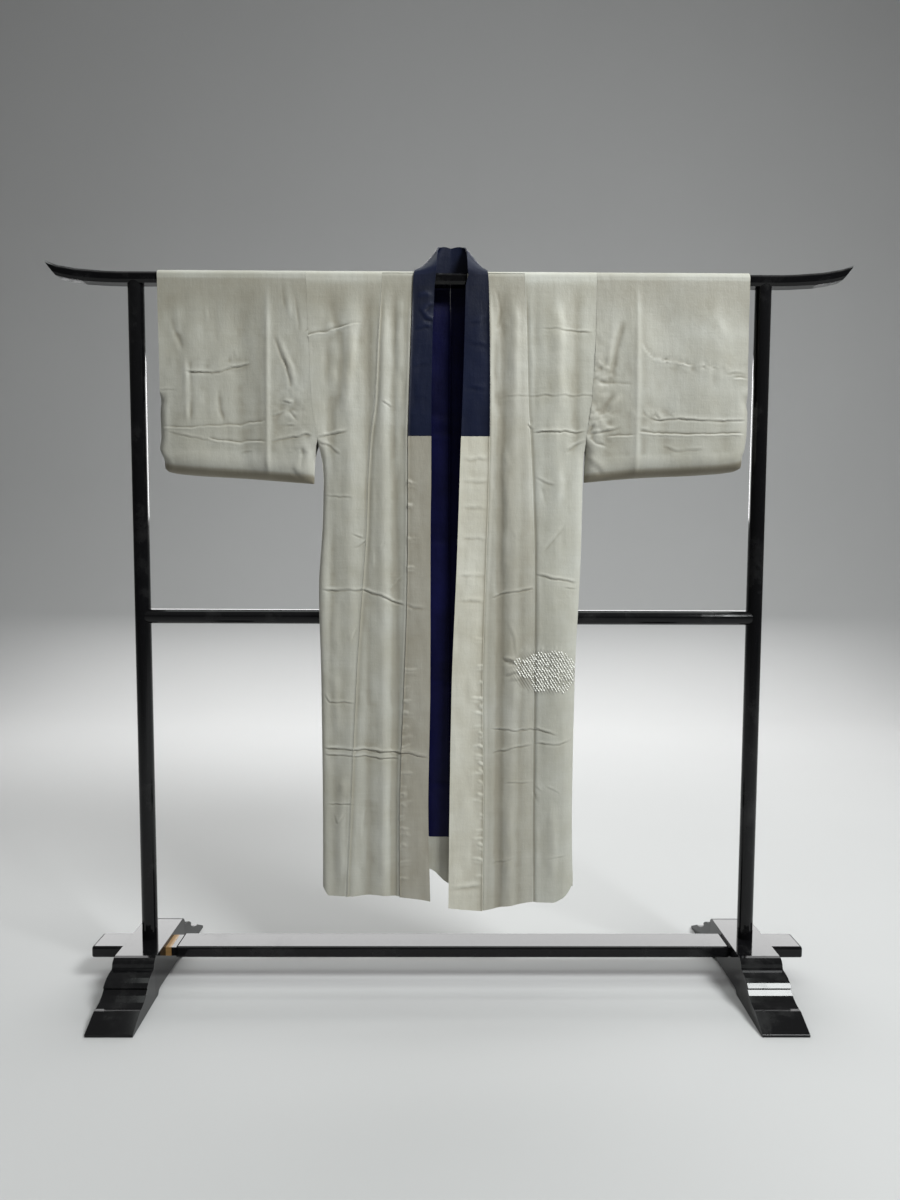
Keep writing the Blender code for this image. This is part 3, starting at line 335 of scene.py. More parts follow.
SLEEVE_CREASES = {
    ("front", "left"): (
        (((0.418, 1.452), (0.427, 1.436), (0.441, 1.421), (0.458, 1.416), (0.487, 1.411),
          (0.507, 1.406), (0.532, 1.404)), 0.0021, 0.0023, -0.9),
        (((0.548, 1.398), (0.556, 1.404), (0.566, 1.396)), 0.0009, 0.0021, 0.8),
        (((0.570, 1.397), (0.580, 1.402), (0.590, 1.394)), 0.0007, 0.0021, 0.8),
        (((0.600, 1.390), (0.654, 1.391)), 0.0006, 0.0026, 0.8),
        (((0.622, 1.375), (0.654, 1.377)), 0.0012, 0.0021, -0.9),
        (((0.436, 1.292), (0.460, 1.289), (0.530, 1.288), (0.590, 1.286),
          (0.657, 1.289)), 0.0014, 0.0021, 0.9),
        (((0.425, 1.316), (0.431, 1.300), (0.441, 1.289)), 0.0013, 0.0021, 0.7),
        (((0.452, 1.313), (0.457, 1.299), (0.466, 1.289)), 0.0013, 0.0021, 0.7),
        (((0.487, 1.300), (0.496, 1.290)), 0.0007, 0.0021, 0.6),
        (((0.413, 1.256), (0.470, 1.254), (0.520, 1.251), (0.580, 1.252),
          (0.652, 1.254)), 0.0017, 0.0022, -0.9),
        (((0.344, 1.246), (0.372, 1.248), (0.410, 1.250)), 0.0013, 0.0023, -0.9),
        (((0.417, 1.268), (0.440, 1.263)), 0.0009, 0.0022, 0.6),
        (((0.380, 1.505), (0.372, 1.470), (0.361, 1.434), (0.352, 1.372)), -0.0027, 0.0068, 0.0),
        (((0.362, 1.500), (0.352, 1.440), (0.342, 1.380)), 0.0026, 0.0090, 0.0),
        (((0.361, 1.341), (0.346, 1.322), (0.333, 1.304), (0.316, 1.281)), -0.0027, 0.0047, 0.0),
        (((0.376, 1.340), (0.360, 1.318), (0.345, 1.300)), 0.0020, 0.0051, 0.0),
        (((0.316, 1.281), (0.309, 1.262), (0.303, 1.250)), -0.0020, 0.0027, 0.0),
        (((0.306, 1.247), (0.320, 1.234), (0.345, 1.226)), -0.0021, 0.0030, 0.0),
        (((0.306, 1.256), (0.335, 1.262), (0.372, 1.270)), 0.0016, 0.0030, 0.5),
        (((0.301, 1.206), (0.318, 1.191), (0.334, 1.180), (0.346, 1.168)), 0.0031, 0.0051, 0.6),
        (((0.316, 1.372), (0.345, 1.365), (0.400, 1.362)), -0.0007, 0.0030, 0.0),
        (((0.470, 1.232), (0.500, 1.221), (0.560, 1.224)), 0.0007, 0.0030, 0.6),
        (((0.585, 1.560), (0.592, 1.480), (0.588, 1.400)), 0.0018, 0.0160, 0.0),
        (((0.500, 1.590), (0.520, 1.588), (0.540, 1.590)), -0.0017, 0.0021, 0.0),
    ),
    ("front", "right"): (
        (((-0.578, 1.389), (-0.570, 1.387), (-0.521, 1.386), (-0.490, 1.393), (-0.453, 1.404),
                (-0.438, 1.409)), 0.0021, 0.0023, 0.9),
        (((-0.485, 1.422), (-0.484, 1.402)), -0.0013, 0.0023, 0.0),
        (((-0.474, 1.432), (-0.466, 1.416)), 0.0010, 0.0026, 0.5),
        (((-0.645, 1.348), (-0.600, 1.350)), 0.0007, 0.0022, 0.8),
        (((-0.638, 1.262), (-0.590, 1.262), (-0.520, 1.265), (-0.460, 1.268),
          (-0.402, 1.278)), 0.0014, 0.0022, -0.9),
        (((-0.620, 1.256), (-0.560, 1.246), (-0.520, 1.236)), 0.0010, 0.0024, 0.7),
        (((-0.535, 1.237), (-0.480, 1.231), (-0.402, 1.233)), 0.0016, 0.0022, -0.9),
        (((-0.396, 1.236), (-0.380, 1.240), (-0.345, 1.247), (-0.315, 1.252),
          (-0.300, 1.246)), 0.0017, 0.0024, 0.8),
        (((-0.385, 1.461), (-0.372, 1.425), (-0.359, 1.397), (-0.347, 1.351)), -0.0020, 0.0028, 0.0),
        (((-0.374, 1.462), (-0.361, 1.425), (-0.348, 1.397), (-0.338, 1.351)), 0.0018, 0.0059, 0.0),
        (((-0.369, 1.325), (-0.343, 1.318)), 0.0016, 0.0022, 0.9),
        (((-0.3555, 1.304), (-0.345, 1.291), (-0.334, 1.277)), -0.0019, 0.0023, 0.0),
        (((-0.393, 1.290), (-0.362, 1.301)), 0.0012, 0.0026, 0.7),
        (((-0.360, 1.270), (-0.340, 1.272)), 0.0014, 0.0022, 0.9),
        (((-0.366, 1.588), (-0.366, 1.560), (-0.362, 1.520)), -0.0021, 0.0030, 0.0),
        (((-0.356, 1.594), (-0.354, 1.560), (-0.350, 1.500)), 0.0020, 0.0051, 0.0),
        (((-0.340, 1.560), (-0.335, 1.520), (-0.328, 1.470)), -0.0016, 0.0024, 0.0),
        (((-0.404, 1.590), (-0.394, 1.596), (-0.382, 1.586)), 0.0016, 0.0024, 0.7),
        (((-0.320, 1.468), (-0.308, 1.474)), 0.0010, 0.0022, -0.8),
        (((-0.611, 1.507), (-0.598, 1.465), (-0.582, 1.427)), -0.0016, 0.0051, 0.0),
        (((-0.580, 1.420), (-0.578, 1.340), (-0.577, 1.270)), 0.0015, 0.0051, 0.0),
        (((-0.570, 1.420), (-0.567, 1.340), (-0.568, 1.270)), -0.0011, 0.0051, 0.0),
        (((-0.535, 1.530), (-0.531, 1.490)), 0.0010, 0.0030, 0.0),
        (((-0.590, 1.540), (-0.600, 1.460)), 0.0018, 0.0120, 0.0),
        (((-0.548, 1.350), (-0.552, 1.250)), 0.0016, 0.0120, 0.0),
        (((-0.508, 1.350), (-0.504, 1.300), (-0.492, 1.268)), -0.0015, 0.0051, 0.0),
        (((-0.325, 1.225), (-0.322, 1.200), (-0.330, 1.176)), -0.0027, 0.0051, 0.0),
        (((-0.310, 1.228), (-0.308, 1.200), (-0.314, 1.170)), 0.0022, 0.0051, 0.0),
        (((-0.350, 1.180), (-0.330, 1.168), (-0.312, 1.172)), 0.0022, 0.0051, 0.6),
        (((-0.430, 1.216), (-0.470, 1.212)), 0.0006, 0.0030, 0.6),
    ),
    ("back", "left"): (
        (((0.430, 1.440), (0.470, 1.420), (0.520, 1.414)), 0.0024, 0.0047, 0.7),
        (((0.411, 1.289), (0.530, 1.291), (0.650, 1.290)), 0.0016, 0.0047, 0.8),
        (((0.411, 1.252), (0.520, 1.254), (0.645, 1.253)), 0.0016, 0.0047, 0.8),
        (((0.320, 1.430), (0.350, 1.395), (0.372, 1.340)), 0.0031, 0.0090, 0.0),
        (((0.308, 1.270), (0.345, 1.262), (0.390, 1.240)), 0.0020, 0.0055, 0.6),
    ),
    ("back", "right"): (
        (((-0.565, 1.386), (-0.522, 1.388), (-0.442, 1.404)), 0.0024, 0.0047, 0.7),
        (((-0.633, 1.261), (-0.520, 1.263), (-0.402, 1.262)), 0.0016, 0.0047, 0.8),
        (((-0.318, 1.420), (-0.345, 1.380), (-0.372, 1.330)), 0.0031, 0.0090, 0.0),
        (((-0.300, 1.270), (-0.330, 1.262), (-0.372, 1.250)), 0.0020, 0.0055, 0.6),
    ),
}
BACK_CREASES = (
    (((-0.270, 1.300), (-0.150, 1.292), (0.000, 1.296), (0.150, 1.292),
      (0.280, 1.300)), 0.0018, 0.0050, 0.8),
    (((-0.270, 1.262), (-0.120, 1.258), (0.060, 1.262)), 0.0014, 0.0050, 0.8),
    (((-0.260, 1.020), (-0.120, 1.012), (0.020, 1.018)), 0.0016, 0.0050, 0.8),
    (((0.060, 1.032), (0.160, 1.024), (0.270, 1.030)), 0.0016, 0.0055, 0.7),
    (((-0.270, 0.700), (-0.140, 0.706), (0.000, 0.700), (0.130, 0.692),
      (0.268, 0.700)), 0.0018, 0.0050, 0.8),
    (((-0.180, 0.640), (-0.120, 0.610), (-0.090, 0.560)), 0.0018, 0.0065, 0.6),
    (((0.120, 0.660), (0.150, 0.610), (0.210, 0.590)), 0.0018, 0.0065, 0.6),
    (((-0.268, 0.470), (-0.100, 0.462), (0.080, 0.468), (0.266, 0.460)), 0.0018, 0.0050, 0.8),
    (((0.190, 1.500), (0.200, 1.380), (0.192, 1.250)), 0.0020, 0.0120, 0.0),
    (((-0.200, 1.500), (-0.190, 1.380), (-0.204, 1.250)), 0.0020, 0.0120, 0.0),
)

# The resist-dyed patch on the wearer's left: its outline, and knots in slanting rows inside it
PATCH_OUTLINE = (
    (0.144, 0.753), (0.162, 0.762), (0.170, 0.756), (0.181, 0.767), (0.195, 0.772), (0.219, 0.771),
    (0.231, 0.776), (0.255, 0.772), (0.273, 0.758), (0.290, 0.753), (0.290, 0.711), (0.269, 0.694),
    (0.256, 0.679), (0.241, 0.683), (0.224, 0.690), (0.216, 0.685), (0.202, 0.686), (0.190, 0.682),
    (0.184, 0.690), (0.170, 0.682), (0.165, 0.694), (0.161, 0.711), (0.154, 0.719), (0.149, 0.734),
)
PATCH_MIDDLE = (0.216, 0.727)
PATCH_REACH = (0.072, 0.047)
PATCH_ROW = (0.53, -0.85)
PATCH_FRONT_Y = -0.034
PATCH_BACK_X = 0.243
PATCH_BACK_FADE = 0.008
PATCH_ROW_GAP = 0.0055
PATCH_KNOT_GAP = 0.0052
PATCH_TEAR = 0.035
PATCH_TORN_FROM = 0.62
PATCH_MISSING = 0.10
PATCH_BACK_REACH = 0.036
KNOT_LENGTH = 0.0029
KNOT_WIDTH = 0.0017
KNOT_HEIGHT = 0.0021
KNOT_SINK = 0.0004
# The knots' stand-out share: above level, so their look paints them lighter, a painted highlight
KNOT_PAINTED_HIGHLIGHT = 0.8
PUCKER_STEP = 0.0095
PUCKER_LENGTH = 0.014
PUCKER_LIFT = 0.0010
PUCKER_WIDTH = 0.0032


def patch_puckers():
    """Short gathers above and below the patch, and a few beside it."""
    rows = []
    places = np.arange(0.160, 0.280, PUCKER_STEP)
    for index, x in enumerate(places):
        swing = 0.003 * math.sin(2.4 * index)
        length = PUCKER_LENGTH * (0.7 + 0.3 * math.sin(1.7 * index))
        rows.append((((x, 0.772), (x + swing, 0.772 + length)), PUCKER_LIFT, PUCKER_WIDTH, 0.0))
        rows.append((((x, 0.690), (x - swing, 0.690 - length)), PUCKER_LIFT, PUCKER_WIDTH, 0.0))
    rows.append((((0.120, 0.762), (0.148, 0.752)), 0.0018, 0.0040, 0.8))
    rows.append((((0.128, 0.744), (0.150, 0.744)), -0.0016, 0.0040, 0.0))
    rows.append((((0.124, 0.722), (0.154, 0.730)), 0.0018, 0.0040, 0.8))
    rows.append((((0.136, 0.706), (0.160, 0.716)), 0.0012, 0.0040, 0.8))
    return tuple(rows)


# Crumpled places of the sleeves by the armholes: middle, half size and height of the crumples
CRUMPLES = {
    "left": (
        ((0.328, 1.370), (0.030, 0.085), 0.0022),
        ((0.318, 1.262), (0.034, 0.040), 0.0020),
        ((0.440, 1.300), (0.050, 0.018), 0.0010),
        ((0.560, 1.400), (0.060, 0.014), 0.0009),
    ),
    "right": (
        ((0.352, 1.315), (0.028, 0.045), 0.0018),
        ((0.316, 1.205), (0.022, 0.045), 0.0022),
        ((0.520, 1.405), (0.060, 0.030), 0.0006),
        ((0.365, 1.560), (0.020, 0.040), 0.0012),
    ),
}
CRUMPLE_SIZE = (0.017, 0.015)

# Small unevenness of hanging silk: length of a wave across and up, and how far it stands out
CRINKLE = {
    "across": (0.078, 0.036, 0.019, 0.012),
    "up": (0.380, 0.170, 0.065, 0.030),
    "lift": (0.00230, 0.00075, 0.00040, 0.00022),
}
LATTICE = 64
# Where each kind of unevenness starts its draws
SEEDS = {
    "front": 3, "back": 11, "ruffle": 53, "torn": 71, "swing": 97, "crumple": 101, "fine_crumple": 103,
    "front_knots": 61, "back_knots": 67,
}
# The relief beside a gore seam: a ridge on the seam and a trough on one side of it
SEAM_RELIEF = {
    "left": {"ridge": 0.0004, "trough": -0.0026, "trough_at": 0.0030},
    "right": {"ridge": 0.0018, "trough": -0.0012, "trough_at": -0.0050},
}
SEAM_RIDGE_WIDTH = 0.0022
SEAM_TROUGH_WIDTH = 0.0050
BACK_SEAM_DIP = 0.0018
# The pressed upright fold of each sleeve: a sharp crest with a long and a short flank
PRESSED = {
    "left": {"x": 0.411, "height": 0.0048, "inward": 0.045, "outward": 0.016},
    "right": {"x": 0.400, "height": 0.0052, "inward": 0.020, "outward": 0.036},
}
# Silk stands up a little beside the satin collar's outer seam
COLLAR_SEAM_RIDGE = 0.0022
COLLAR_SEAM_WIDTH = 0.0040
# Gathers of the stitched band, from the seam into the band, each at its own height
BAND_GATHERS = {
    "left": (0.262, 0.298, 0.321, 0.352, 0.371, 0.402, 0.431, 0.447, 0.473, 0.499, 0.517, 0.536,
             0.560, 0.584, 0.607, 0.633, 0.650, 0.668, 0.705, 0.742, 0.801),
    "right": (0.255, 0.291, 0.330, 0.362, 0.376, 0.399, 0.428, 0.452, 0.470, 0.500, 0.531, 0.556,
              0.580, 0.604, 0.634, 0.659, 0.690, 0.733, 0.870, 0.960, 1.020, 1.092, 1.145),
}
GATHER_REACH = 0.021
GATHER_RISE = 0.006
GATHER_LIFT = 0.0013
GATHER_WIDTH = 0.0030
SHOULDER_RUFFLE = 0.0009
SHOULDER_RUFFLE_LENGTH = 0.035


def band_gathers(side):
    """Short slanting gathers along a band's outer seam."""
    rows = []
    for index, z in enumerate(BAND_GATHERS[side]):
        reach = GATHER_REACH * (1.0 + 0.45 * math.sin(2.3 * index))
        rise = GATHER_RISE * math.sin(1.3 * index)
        seam = float(through(SEAMS[side]["z"], SEAMS[side]["band_outer"], z))
        start = (SIGN[side] * (seam + 0.004), z)
        end = (SIGN[side] * (seam - reach), z + rise)
        height = GATHER_LIFT * (0.8 + 0.4 * math.sin(3.1 * index))
        rows.append(((start, end), height, GATHER_WIDTH, 0.0))
        below = ((start[0], start[1] - 0.007), (end[0], end[1] - 0.008))
        if index % 3:
            rows.append((below, 0.6 * height, GATHER_WIDTH, 0.0))
    return tuple(rows)


FRONT_CREASES = {"left": LEFT_FRONT_CREASES + patch_puckers(), "right": RIGHT_FRONT_CREASES}

# Steps of the fine surfaces
FRONT_STEP = 0.0031
BAND_STEP = 0.0023
SLEEVE_STEP = 0.0031
BACK_STEP = 0.0068
LINING_STEP = 0.0085
COLLAR_STEP = 0.0045
COLLAR_TURN_ROWS = 46
UNDERSIDE_ROWS = 12
# Usual widths of the pieces, for the number of their columns
GORE_WIDTH = 0.165
BAND_WIDTH = 0.070
PANEL_WIDTH = 0.115
SLEEVE_WIDTH = 0.335
SHOULDER_STEPS = 14
EDGE_INSETS = (0.0010, 0.0022, 0.0040)
FORM_ANGLE = math.radians(50.0)
# Painted shade in the cloth's hollows and painted highlight on its crests: grid steps that count as
# surroundings, and the full hollow
RELIEF_REACH = 6
RELIEF_SCALE = 0.0022
RELIEF_MOST = 0.45
COARSE_RELIEF = 0.3
# Painted shade under the sleeves' lower edges: its height and strength; painted shade on the cloth near the
# top: its strength, where it starts and how far it grows
UNDERSIDE_SHADE = 0.027
UNDERSIDE_PAINTED_SHADE = 1.5
TOP_SHADE = 0.42
TOP_SHADE_FROM = 1.45
TOP_SHADE_OVER = 0.11


def smooth_step(value):
    share = np.clip(value, 0.0, 1.0)
    return share * share * (3.0 - 2.0 * share)


def through(knots, values, place):
    """A smooth line through a table's points that never swings past them."""
    knots = np.asarray(knots, dtype=float)
    values = np.asarray(values, dtype=float)
    step = np.diff(knots)
    slope = np.diff(values) / step
    tangent = np.zeros_like(values)
    first = 2.0 * step[1:] + step[:-1]
    second = step[1:] + 2.0 * step[:-1]
    turning = slope[:-1] * slope[1:] <= 0.0
    safe_before = np.where(turning, 1.0, slope[:-1])
    safe_after = np.where(turning, 1.0, slope[1:])
    mean = (first + second) / (first / safe_before + second / safe_after)
    tangent[1:-1] = np.where(turning, 0.0, mean)
    tangent[0] = slope[0]
    tangent[-1] = slope[-1]
    place = np.clip(place, knots[0], knots[-1])
    index = np.clip(np.searchsorted(knots, place) - 1, 0, len(step) - 1)
    share = (place - knots[index]) / step[index]
    rest = 1.0 - share
    start = values[index] * (1.0 + 2.0 * share) * rest**2
    end = values[index + 1] * share**2 * (3.0 - 2.0 * share)
    leave = tangent[index] * step[index] * share * rest**2
    arrive = tangent[index + 1] * step[index] * share**2 * rest
    return start + end + leave - arrive


def read(table, key, column, place):
    return through(table[key], table[column], place)


def drift(across, up, seed):
    """Smooth unevenness between -1 and 1 from a small table of seeded values."""
    table = np.random.RandomState(seed).uniform(-1.0, 1.0, (LATTICE, LATTICE))
    column = np.floor(across).astype(int)
    row = np.floor(up).astype(int)
    right = smooth_step(across - column)
    above = smooth_step(up - row)
    lower = table[row % LATTICE, column % LATTICE]
    lower_next = table[row % LATTICE, (column + 1) % LATTICE]
    upper = table[(row + 1) % LATTICE, column % LATTICE]
    upper_next = table[(row + 1) % LATTICE, (column + 1) % LATTICE]
    near = lower + (lower_next - lower) * right
    far = upper + (upper_next - upper) * right
    return near + (far - near) * above


def crinkle(x, z, seed):
    """Layers of unevenness, each leaning a little another way."""
    total = np.zeros_like(x)
    rows = zip(CRINKLE["across"], CRINKLE["up"], CRINKLE["lift"])
    for index, (across, up, lift) in enumerate(rows):
        lean = 0.12 * math.sin(2.1 * index + seed)
        total += lift * drift((x + lean * z) / across + 7.3 * index, z / up + 3.7 * index, seed + index)
        total += 0.6 * lift * drift((x - 0.5 * lean * z) / (1.6 * across), z / (0.7 * up), seed + 20 + index)
    return total


def bell(distance, width):
    return np.exp(-((distance / width) ** 2))


def crease_lift(creases, x, z):
    """How far a list of creases moves each point of a layer outward."""
    total = np.zeros_like(x)
    wander = np.zeros_like(x)
    for share, across, up, seed in WANDER_WAVES:
        wander += share * CREASE_WANDER * drift(x / across, z / up, seed)
    depth = 1.0 + CREASE_SWING * drift(x / SWING_WAVE, z / SWING_WAVE, SEEDS["swing"])
    for path, lift, width, shadow in creases:
        path = np.array(path)
        reach = 14.0 * width
        low = path.min(axis=0) - reach
        high = path.max(axis=0) + reach
        near = (x > low[0]) & (x < high[0]) & (z > low[1]) & (z < high[1])
        if not near.any():
            continue
        spot = np.stack([x[near], z[near] + wander[near]], axis=-1)
        lengths = np.linalg.norm(np.diff(path, axis=0), axis=1)
        starts = np.concatenate([[0.0], np.cumsum(lengths)])
        best = np.full(len(spot), np.inf)
        along = np.zeros(len(spot))
        beside = np.zeros(len(spot))
        for start, end, length, run in zip(path[:-1], path[1:], lengths, starts):
            direction = (end - start) / length
            offset = spot - start
            t = np.clip(offset @ direction, 0.0, length)
            gap = offset - t[:, None] * direction
            distance = np.linalg.norm(gap, axis=1)
            closer = distance < best
            best = np.where(closer, distance, best)
            along = np.where(closer, (run + t) / starts[-1], along)
            beside = np.where(closer, np.where(gap[:, 1] < 0.0, distance, -distance), beside)
        soft = min(0.40, max(CREASE_END, 6.0 * width) / starts[-1])
        fade = smooth_step(along / soft + 0.12) * smooth_step((1.0 - along) / soft + 0.12)
        ridge = bell(best, width)
        shape = ridge
        if shadow:
            beyond = beside * np.sign(shadow)
            shape = shape - abs(shadow) * bell(beyond - 1.5 * width, width)
            shape = shape + CREASE_FLANK * (beyond < 0.0) * (1.0 - ridge) * np.exp(-best / (4.0 * width))
        total[near] += lift * fade * shape
    return total * depth


def upright_folds(table, x):
    lift = np.zeros_like(x)
    for middle, height, spread in zip(table["x"], table["lift"], table["spread"]):
        lift += height * np.exp(-(((x - middle) / spread) ** 2))
    return lift


def body_base(layer, x, z):
    """The plain hang of a body layer, without its folds."""
    y = read(BODY_DEPTH, "z", layer, z)
    if layer == "back":
        reach = np.exp(-((x / NECK_BULGE_HALF_WIDTH) ** 2))
        y = y + NECK_BULGE * reach * smooth_step(1.0 - (SHOULDER_Z - z) / NECK_BULGE_DROP)
    return y


def seam_relief(side, distance):
    """Relief beside a gore seam, at a distance from it towards the side."""
    form = SEAM_RELIEF[side]
    trough = form["trough"] * bell(distance - form["trough_at"], SEAM_TROUGH_WIDTH)
    return form["ridge"] * bell(distance, SEAM_RIDGE_WIDTH) + trough


def pressed_fold(side, x):
    form = PRESSED[side]
    beyond = x - form["x"]
    flank = np.where(beyond > 0.0, form["outward"], form["inward"])
    return form["height"] * np.exp(-np.abs(beyond) / flank)


def body_y(side, layer, x, z):
    """Depth of a body layer at distance x from the middle plane."""
    strength = smooth_step((SHOULDER_Z - z) / FOLD_START_DROP)
    place = SIGN[side] * x
    if layer == "front":
        lift = upright_folds(FRONT_FOLDS[side], x) + crease_lift(FRONT_CREASES[side], place, z)
        lift += crinkle(place, z, SEEDS["front"])
        lift += seam_relief(side, x - read(SEAMS[side], "z", "gore", z))
        beside = x - read(SEAMS[side], "z", "band_outer", z) - 0.5 * COLLAR_SEAM_WIDTH
        lift += COLLAR_SEAM_RIDGE * bell(beside, COLLAR_SEAM_WIDTH)
        return body_base(layer, x, z) - strength * lift
    calm = 1.0 - smooth_step(1.0 - abs(z - RAIL_Z) / RAIL_CALM)
    lift = upright_folds(BACK_FOLDS[side], x) + crease_lift(BACK_CREASES, place, z)
    lift += crinkle(place, z, SEEDS["back"])
    return body_base(layer, x, z) + strength * (calm * lift - BACK_SEAM_DIP * bell(x, SEAM_RIDGE_WIDTH))


def sleeve_base(side, layer, x, z):
    """A sleeve leaves the body's depth at its seam and takes its own towards the cuff."""
    seam = read(SEAMS[side], "z", "side", z)
    own = smooth_step((x - seam) / SLEEVE_BLEND)
    body = read(BODY_DEPTH, "z", layer, z)
    return body + (read(SLEEVE_DEPTH, "z", layer, z) - body) * own


def crumple(side, x, z):
    """Short uneven puckers in the crumpled places of a sleeve."""
    lean = 0.35 * z / CRUMPLE_SIZE[0]
    across = x / CRUMPLE_SIZE[0]
    up = z / CRUMPLE_SIZE[1]
    pattern = drift(across + lean, up, SEEDS["crumple"])
    pattern += 0.5 * drift(2.1 * across - lean, 2.0 * up, SEEDS["fine_crumple"])
    total = np.zeros_like(x)
    for (middle_x, middle_z), (half_x, half_z), height in CRUMPLES[side]:
        total += height * bell(x - middle_x, half_x) * bell(z - middle_z, half_z)
    return total * pattern


def sleeve_y(side, layer, x, z):
    strength = smooth_step((SHOULDER_Z - z) / FOLD_START_DROP)
    place = SIGN[side] * x
    lift = upright_folds(SLEEVE_FOLDS[side], x) + pressed_fold(side, x)
    lift += crease_lift(SLEEVE_CREASES[layer, side], place, z) + crinkle(place, z, SEEDS[layer])
    lift += crumple(side, x, z)
    outward = -1.0 if layer == "front" else 1.0
    return sleeve_base(side, layer, x, z) + outward * strength * lift


def hem_z(side, layer, x, level):
    """Lower rows follow the hem's line and fade into level rows above it."""
    table = FRONT_HEM if layer == "front" else BACK_HEM
    hem = read(table, "x", "z", SIGN[side] * x)
    share = np.clip(1.0 - (level - HEM_LEVEL) / HEM_SETTLE, 0.0, 1.0)
    return level + (hem - HEM_LEVEL) * share


def place(side, x, y, z):
    return np.stack([SIGN[side] * x, y, z], axis=-1)


def steps_between(length, step):
    return max(2, int(math.ceil(length / step)))


def stretch(start, end, count, first=True, last=True):
    """Places from start to end, closer together near each sewn edge."""
    insets = EDGE_INSETS
    head = [start] + [start + inset for inset in insets] if first else [start]
    tail = [end - inset for inset in reversed(insets)] + [end] if last else [end]
    middle = np.linspace(head[-1], tail[0], count + 1)[1:-1]
    return np.concatenate([head, middle, tail])


def levels_between(low, high, step, creases=()):
    """Even heights of a sheet's rows, or heights that gather where level creases run."""
    count = steps_between(high - low, step)
    fine = np.linspace(low, high, 6 * count + 1)
    weight = np.ones_like(fine)
    for path, *_ in creases:
        x, z = np.array(path).T
        if np.ptp(z) < min(LEVEL_CREASE_RISE, LEVEL_CREASE_SLOPE * np.ptp(x)):
            weight[(fine > z.min() - ROW_REACH) & (fine < z.max() + ROW_REACH)] = ROW_DENSITY
    run = np.concatenate([[0.0], np.cumsum(0.5 * (weight[1:] + weight[:-1]))])
    return np.interp(np.linspace(0.0, run[-1], count + 1), run, fine)


def moved_out(points, distance, towards):
    """Points of a sheet moved along its normals, to the side that faces towards."""
    along_rows = np.gradient(points, axis=0)
    along_columns = np.gradient(points, axis=1)
    normal = np.cross(along_rows, along_columns)
    normal /= np.linalg.norm(normal, axis=-1, keepdims=True)
    facing = np.sign(normal @ np.array(towards))[..., None]
    return points + normal * facing * distance


def turn_pull(inset, width):
    """Share of the way to the middle that a rounded edge has gone, at a distance from it."""
    share = np.clip(1.0 - inset / width, 0.0, 1.0)
    return 1.0 - np.sqrt(1.0 - share**2)


def pulled(y, middle, pull, layer):
    """Depth after an edge turns in to meet the other layer at their seam."""
    own = middle - OWN_SEAM if layer == "front" else middle + OWN_SEAM
    return y + (own - y) * pull


def blurred(points, axis):
    """The mean of each point and its neighbours along one axis of a grid."""
    ends = [(0, 0)] * points.ndim
    ends[axis] = (RELIEF_REACH + 1, RELIEF_REACH)
    total = np.cumsum(np.pad(points, ends, mode="edge"), axis=axis)
    span = 2 * RELIEF_REACH + 1
    last = np.take(total, range(span, total.shape[axis]), axis=axis)
    first = np.take(total, range(0, total.shape[axis] - span), axis=axis)
    return (last - first) / span


def painted_light_share(points, painted_shade):
    """How far each place stands out of its surroundings, for painted shade in hollows and painted highlight
    on crests: 0.5 is level, less is a hollow.
    """
    normal = np.cross(np.gradient(points, axis=0), np.gradient(points, axis=1))
    normal /= np.linalg.norm(normal, axis=-1, keepdims=True) + 1e-9
    row = len(points) // 4
    normal *= -np.sign(normal[row, :, 1].sum())
    soft = blurred(blurred(points, 0), 1)
    step = np.linalg.norm(np.gradient(points, axis=0), axis=-1)
    share = ((points - soft) * normal).sum(axis=-1) / RELIEF_SCALE
    share *= np.clip(FRONT_STEP / step, COARSE_RELIEF, 1.0)
    # Painted shade on the cloth near the top, with any given painted shade, lowers the share
    painted_shade = painted_shade + TOP_SHADE * smooth_step((points[..., 2] - TOP_SHADE_FROM) / TOP_SHADE_OVER)
    return np.clip(0.5 + 0.5 * np.clip(share, -RELIEF_MOST, RELIEF_MOST) - 0.5 * painted_shade, 0.0, 1.0)


def dress(mesh, look):
    mesh.materials.clear()
    mesh.materials.append(look)


def store_painted_light_share(mesh, values):
    """Keeps how far each point stands out, for the cloth's looks to paint shade in hollows and highlight on
    crests.
    """
    mesh.attributes.new("relief", "FLOAT", "POINT").data.foreach_set("value", values)


def place_in_scene(name, data):
    item = bpy.data.objects.new(name, data)
    bpy.context.scene.collection.objects.link(item)
    return item


def mesh_from(form, name):
    """A smooth mesh from a form that isn't needed after it."""
    mesh = bpy.data.meshes.new(name)
    form.to_mesh(mesh)
    form.free()
    mesh.shade_smooth()
    return mesh


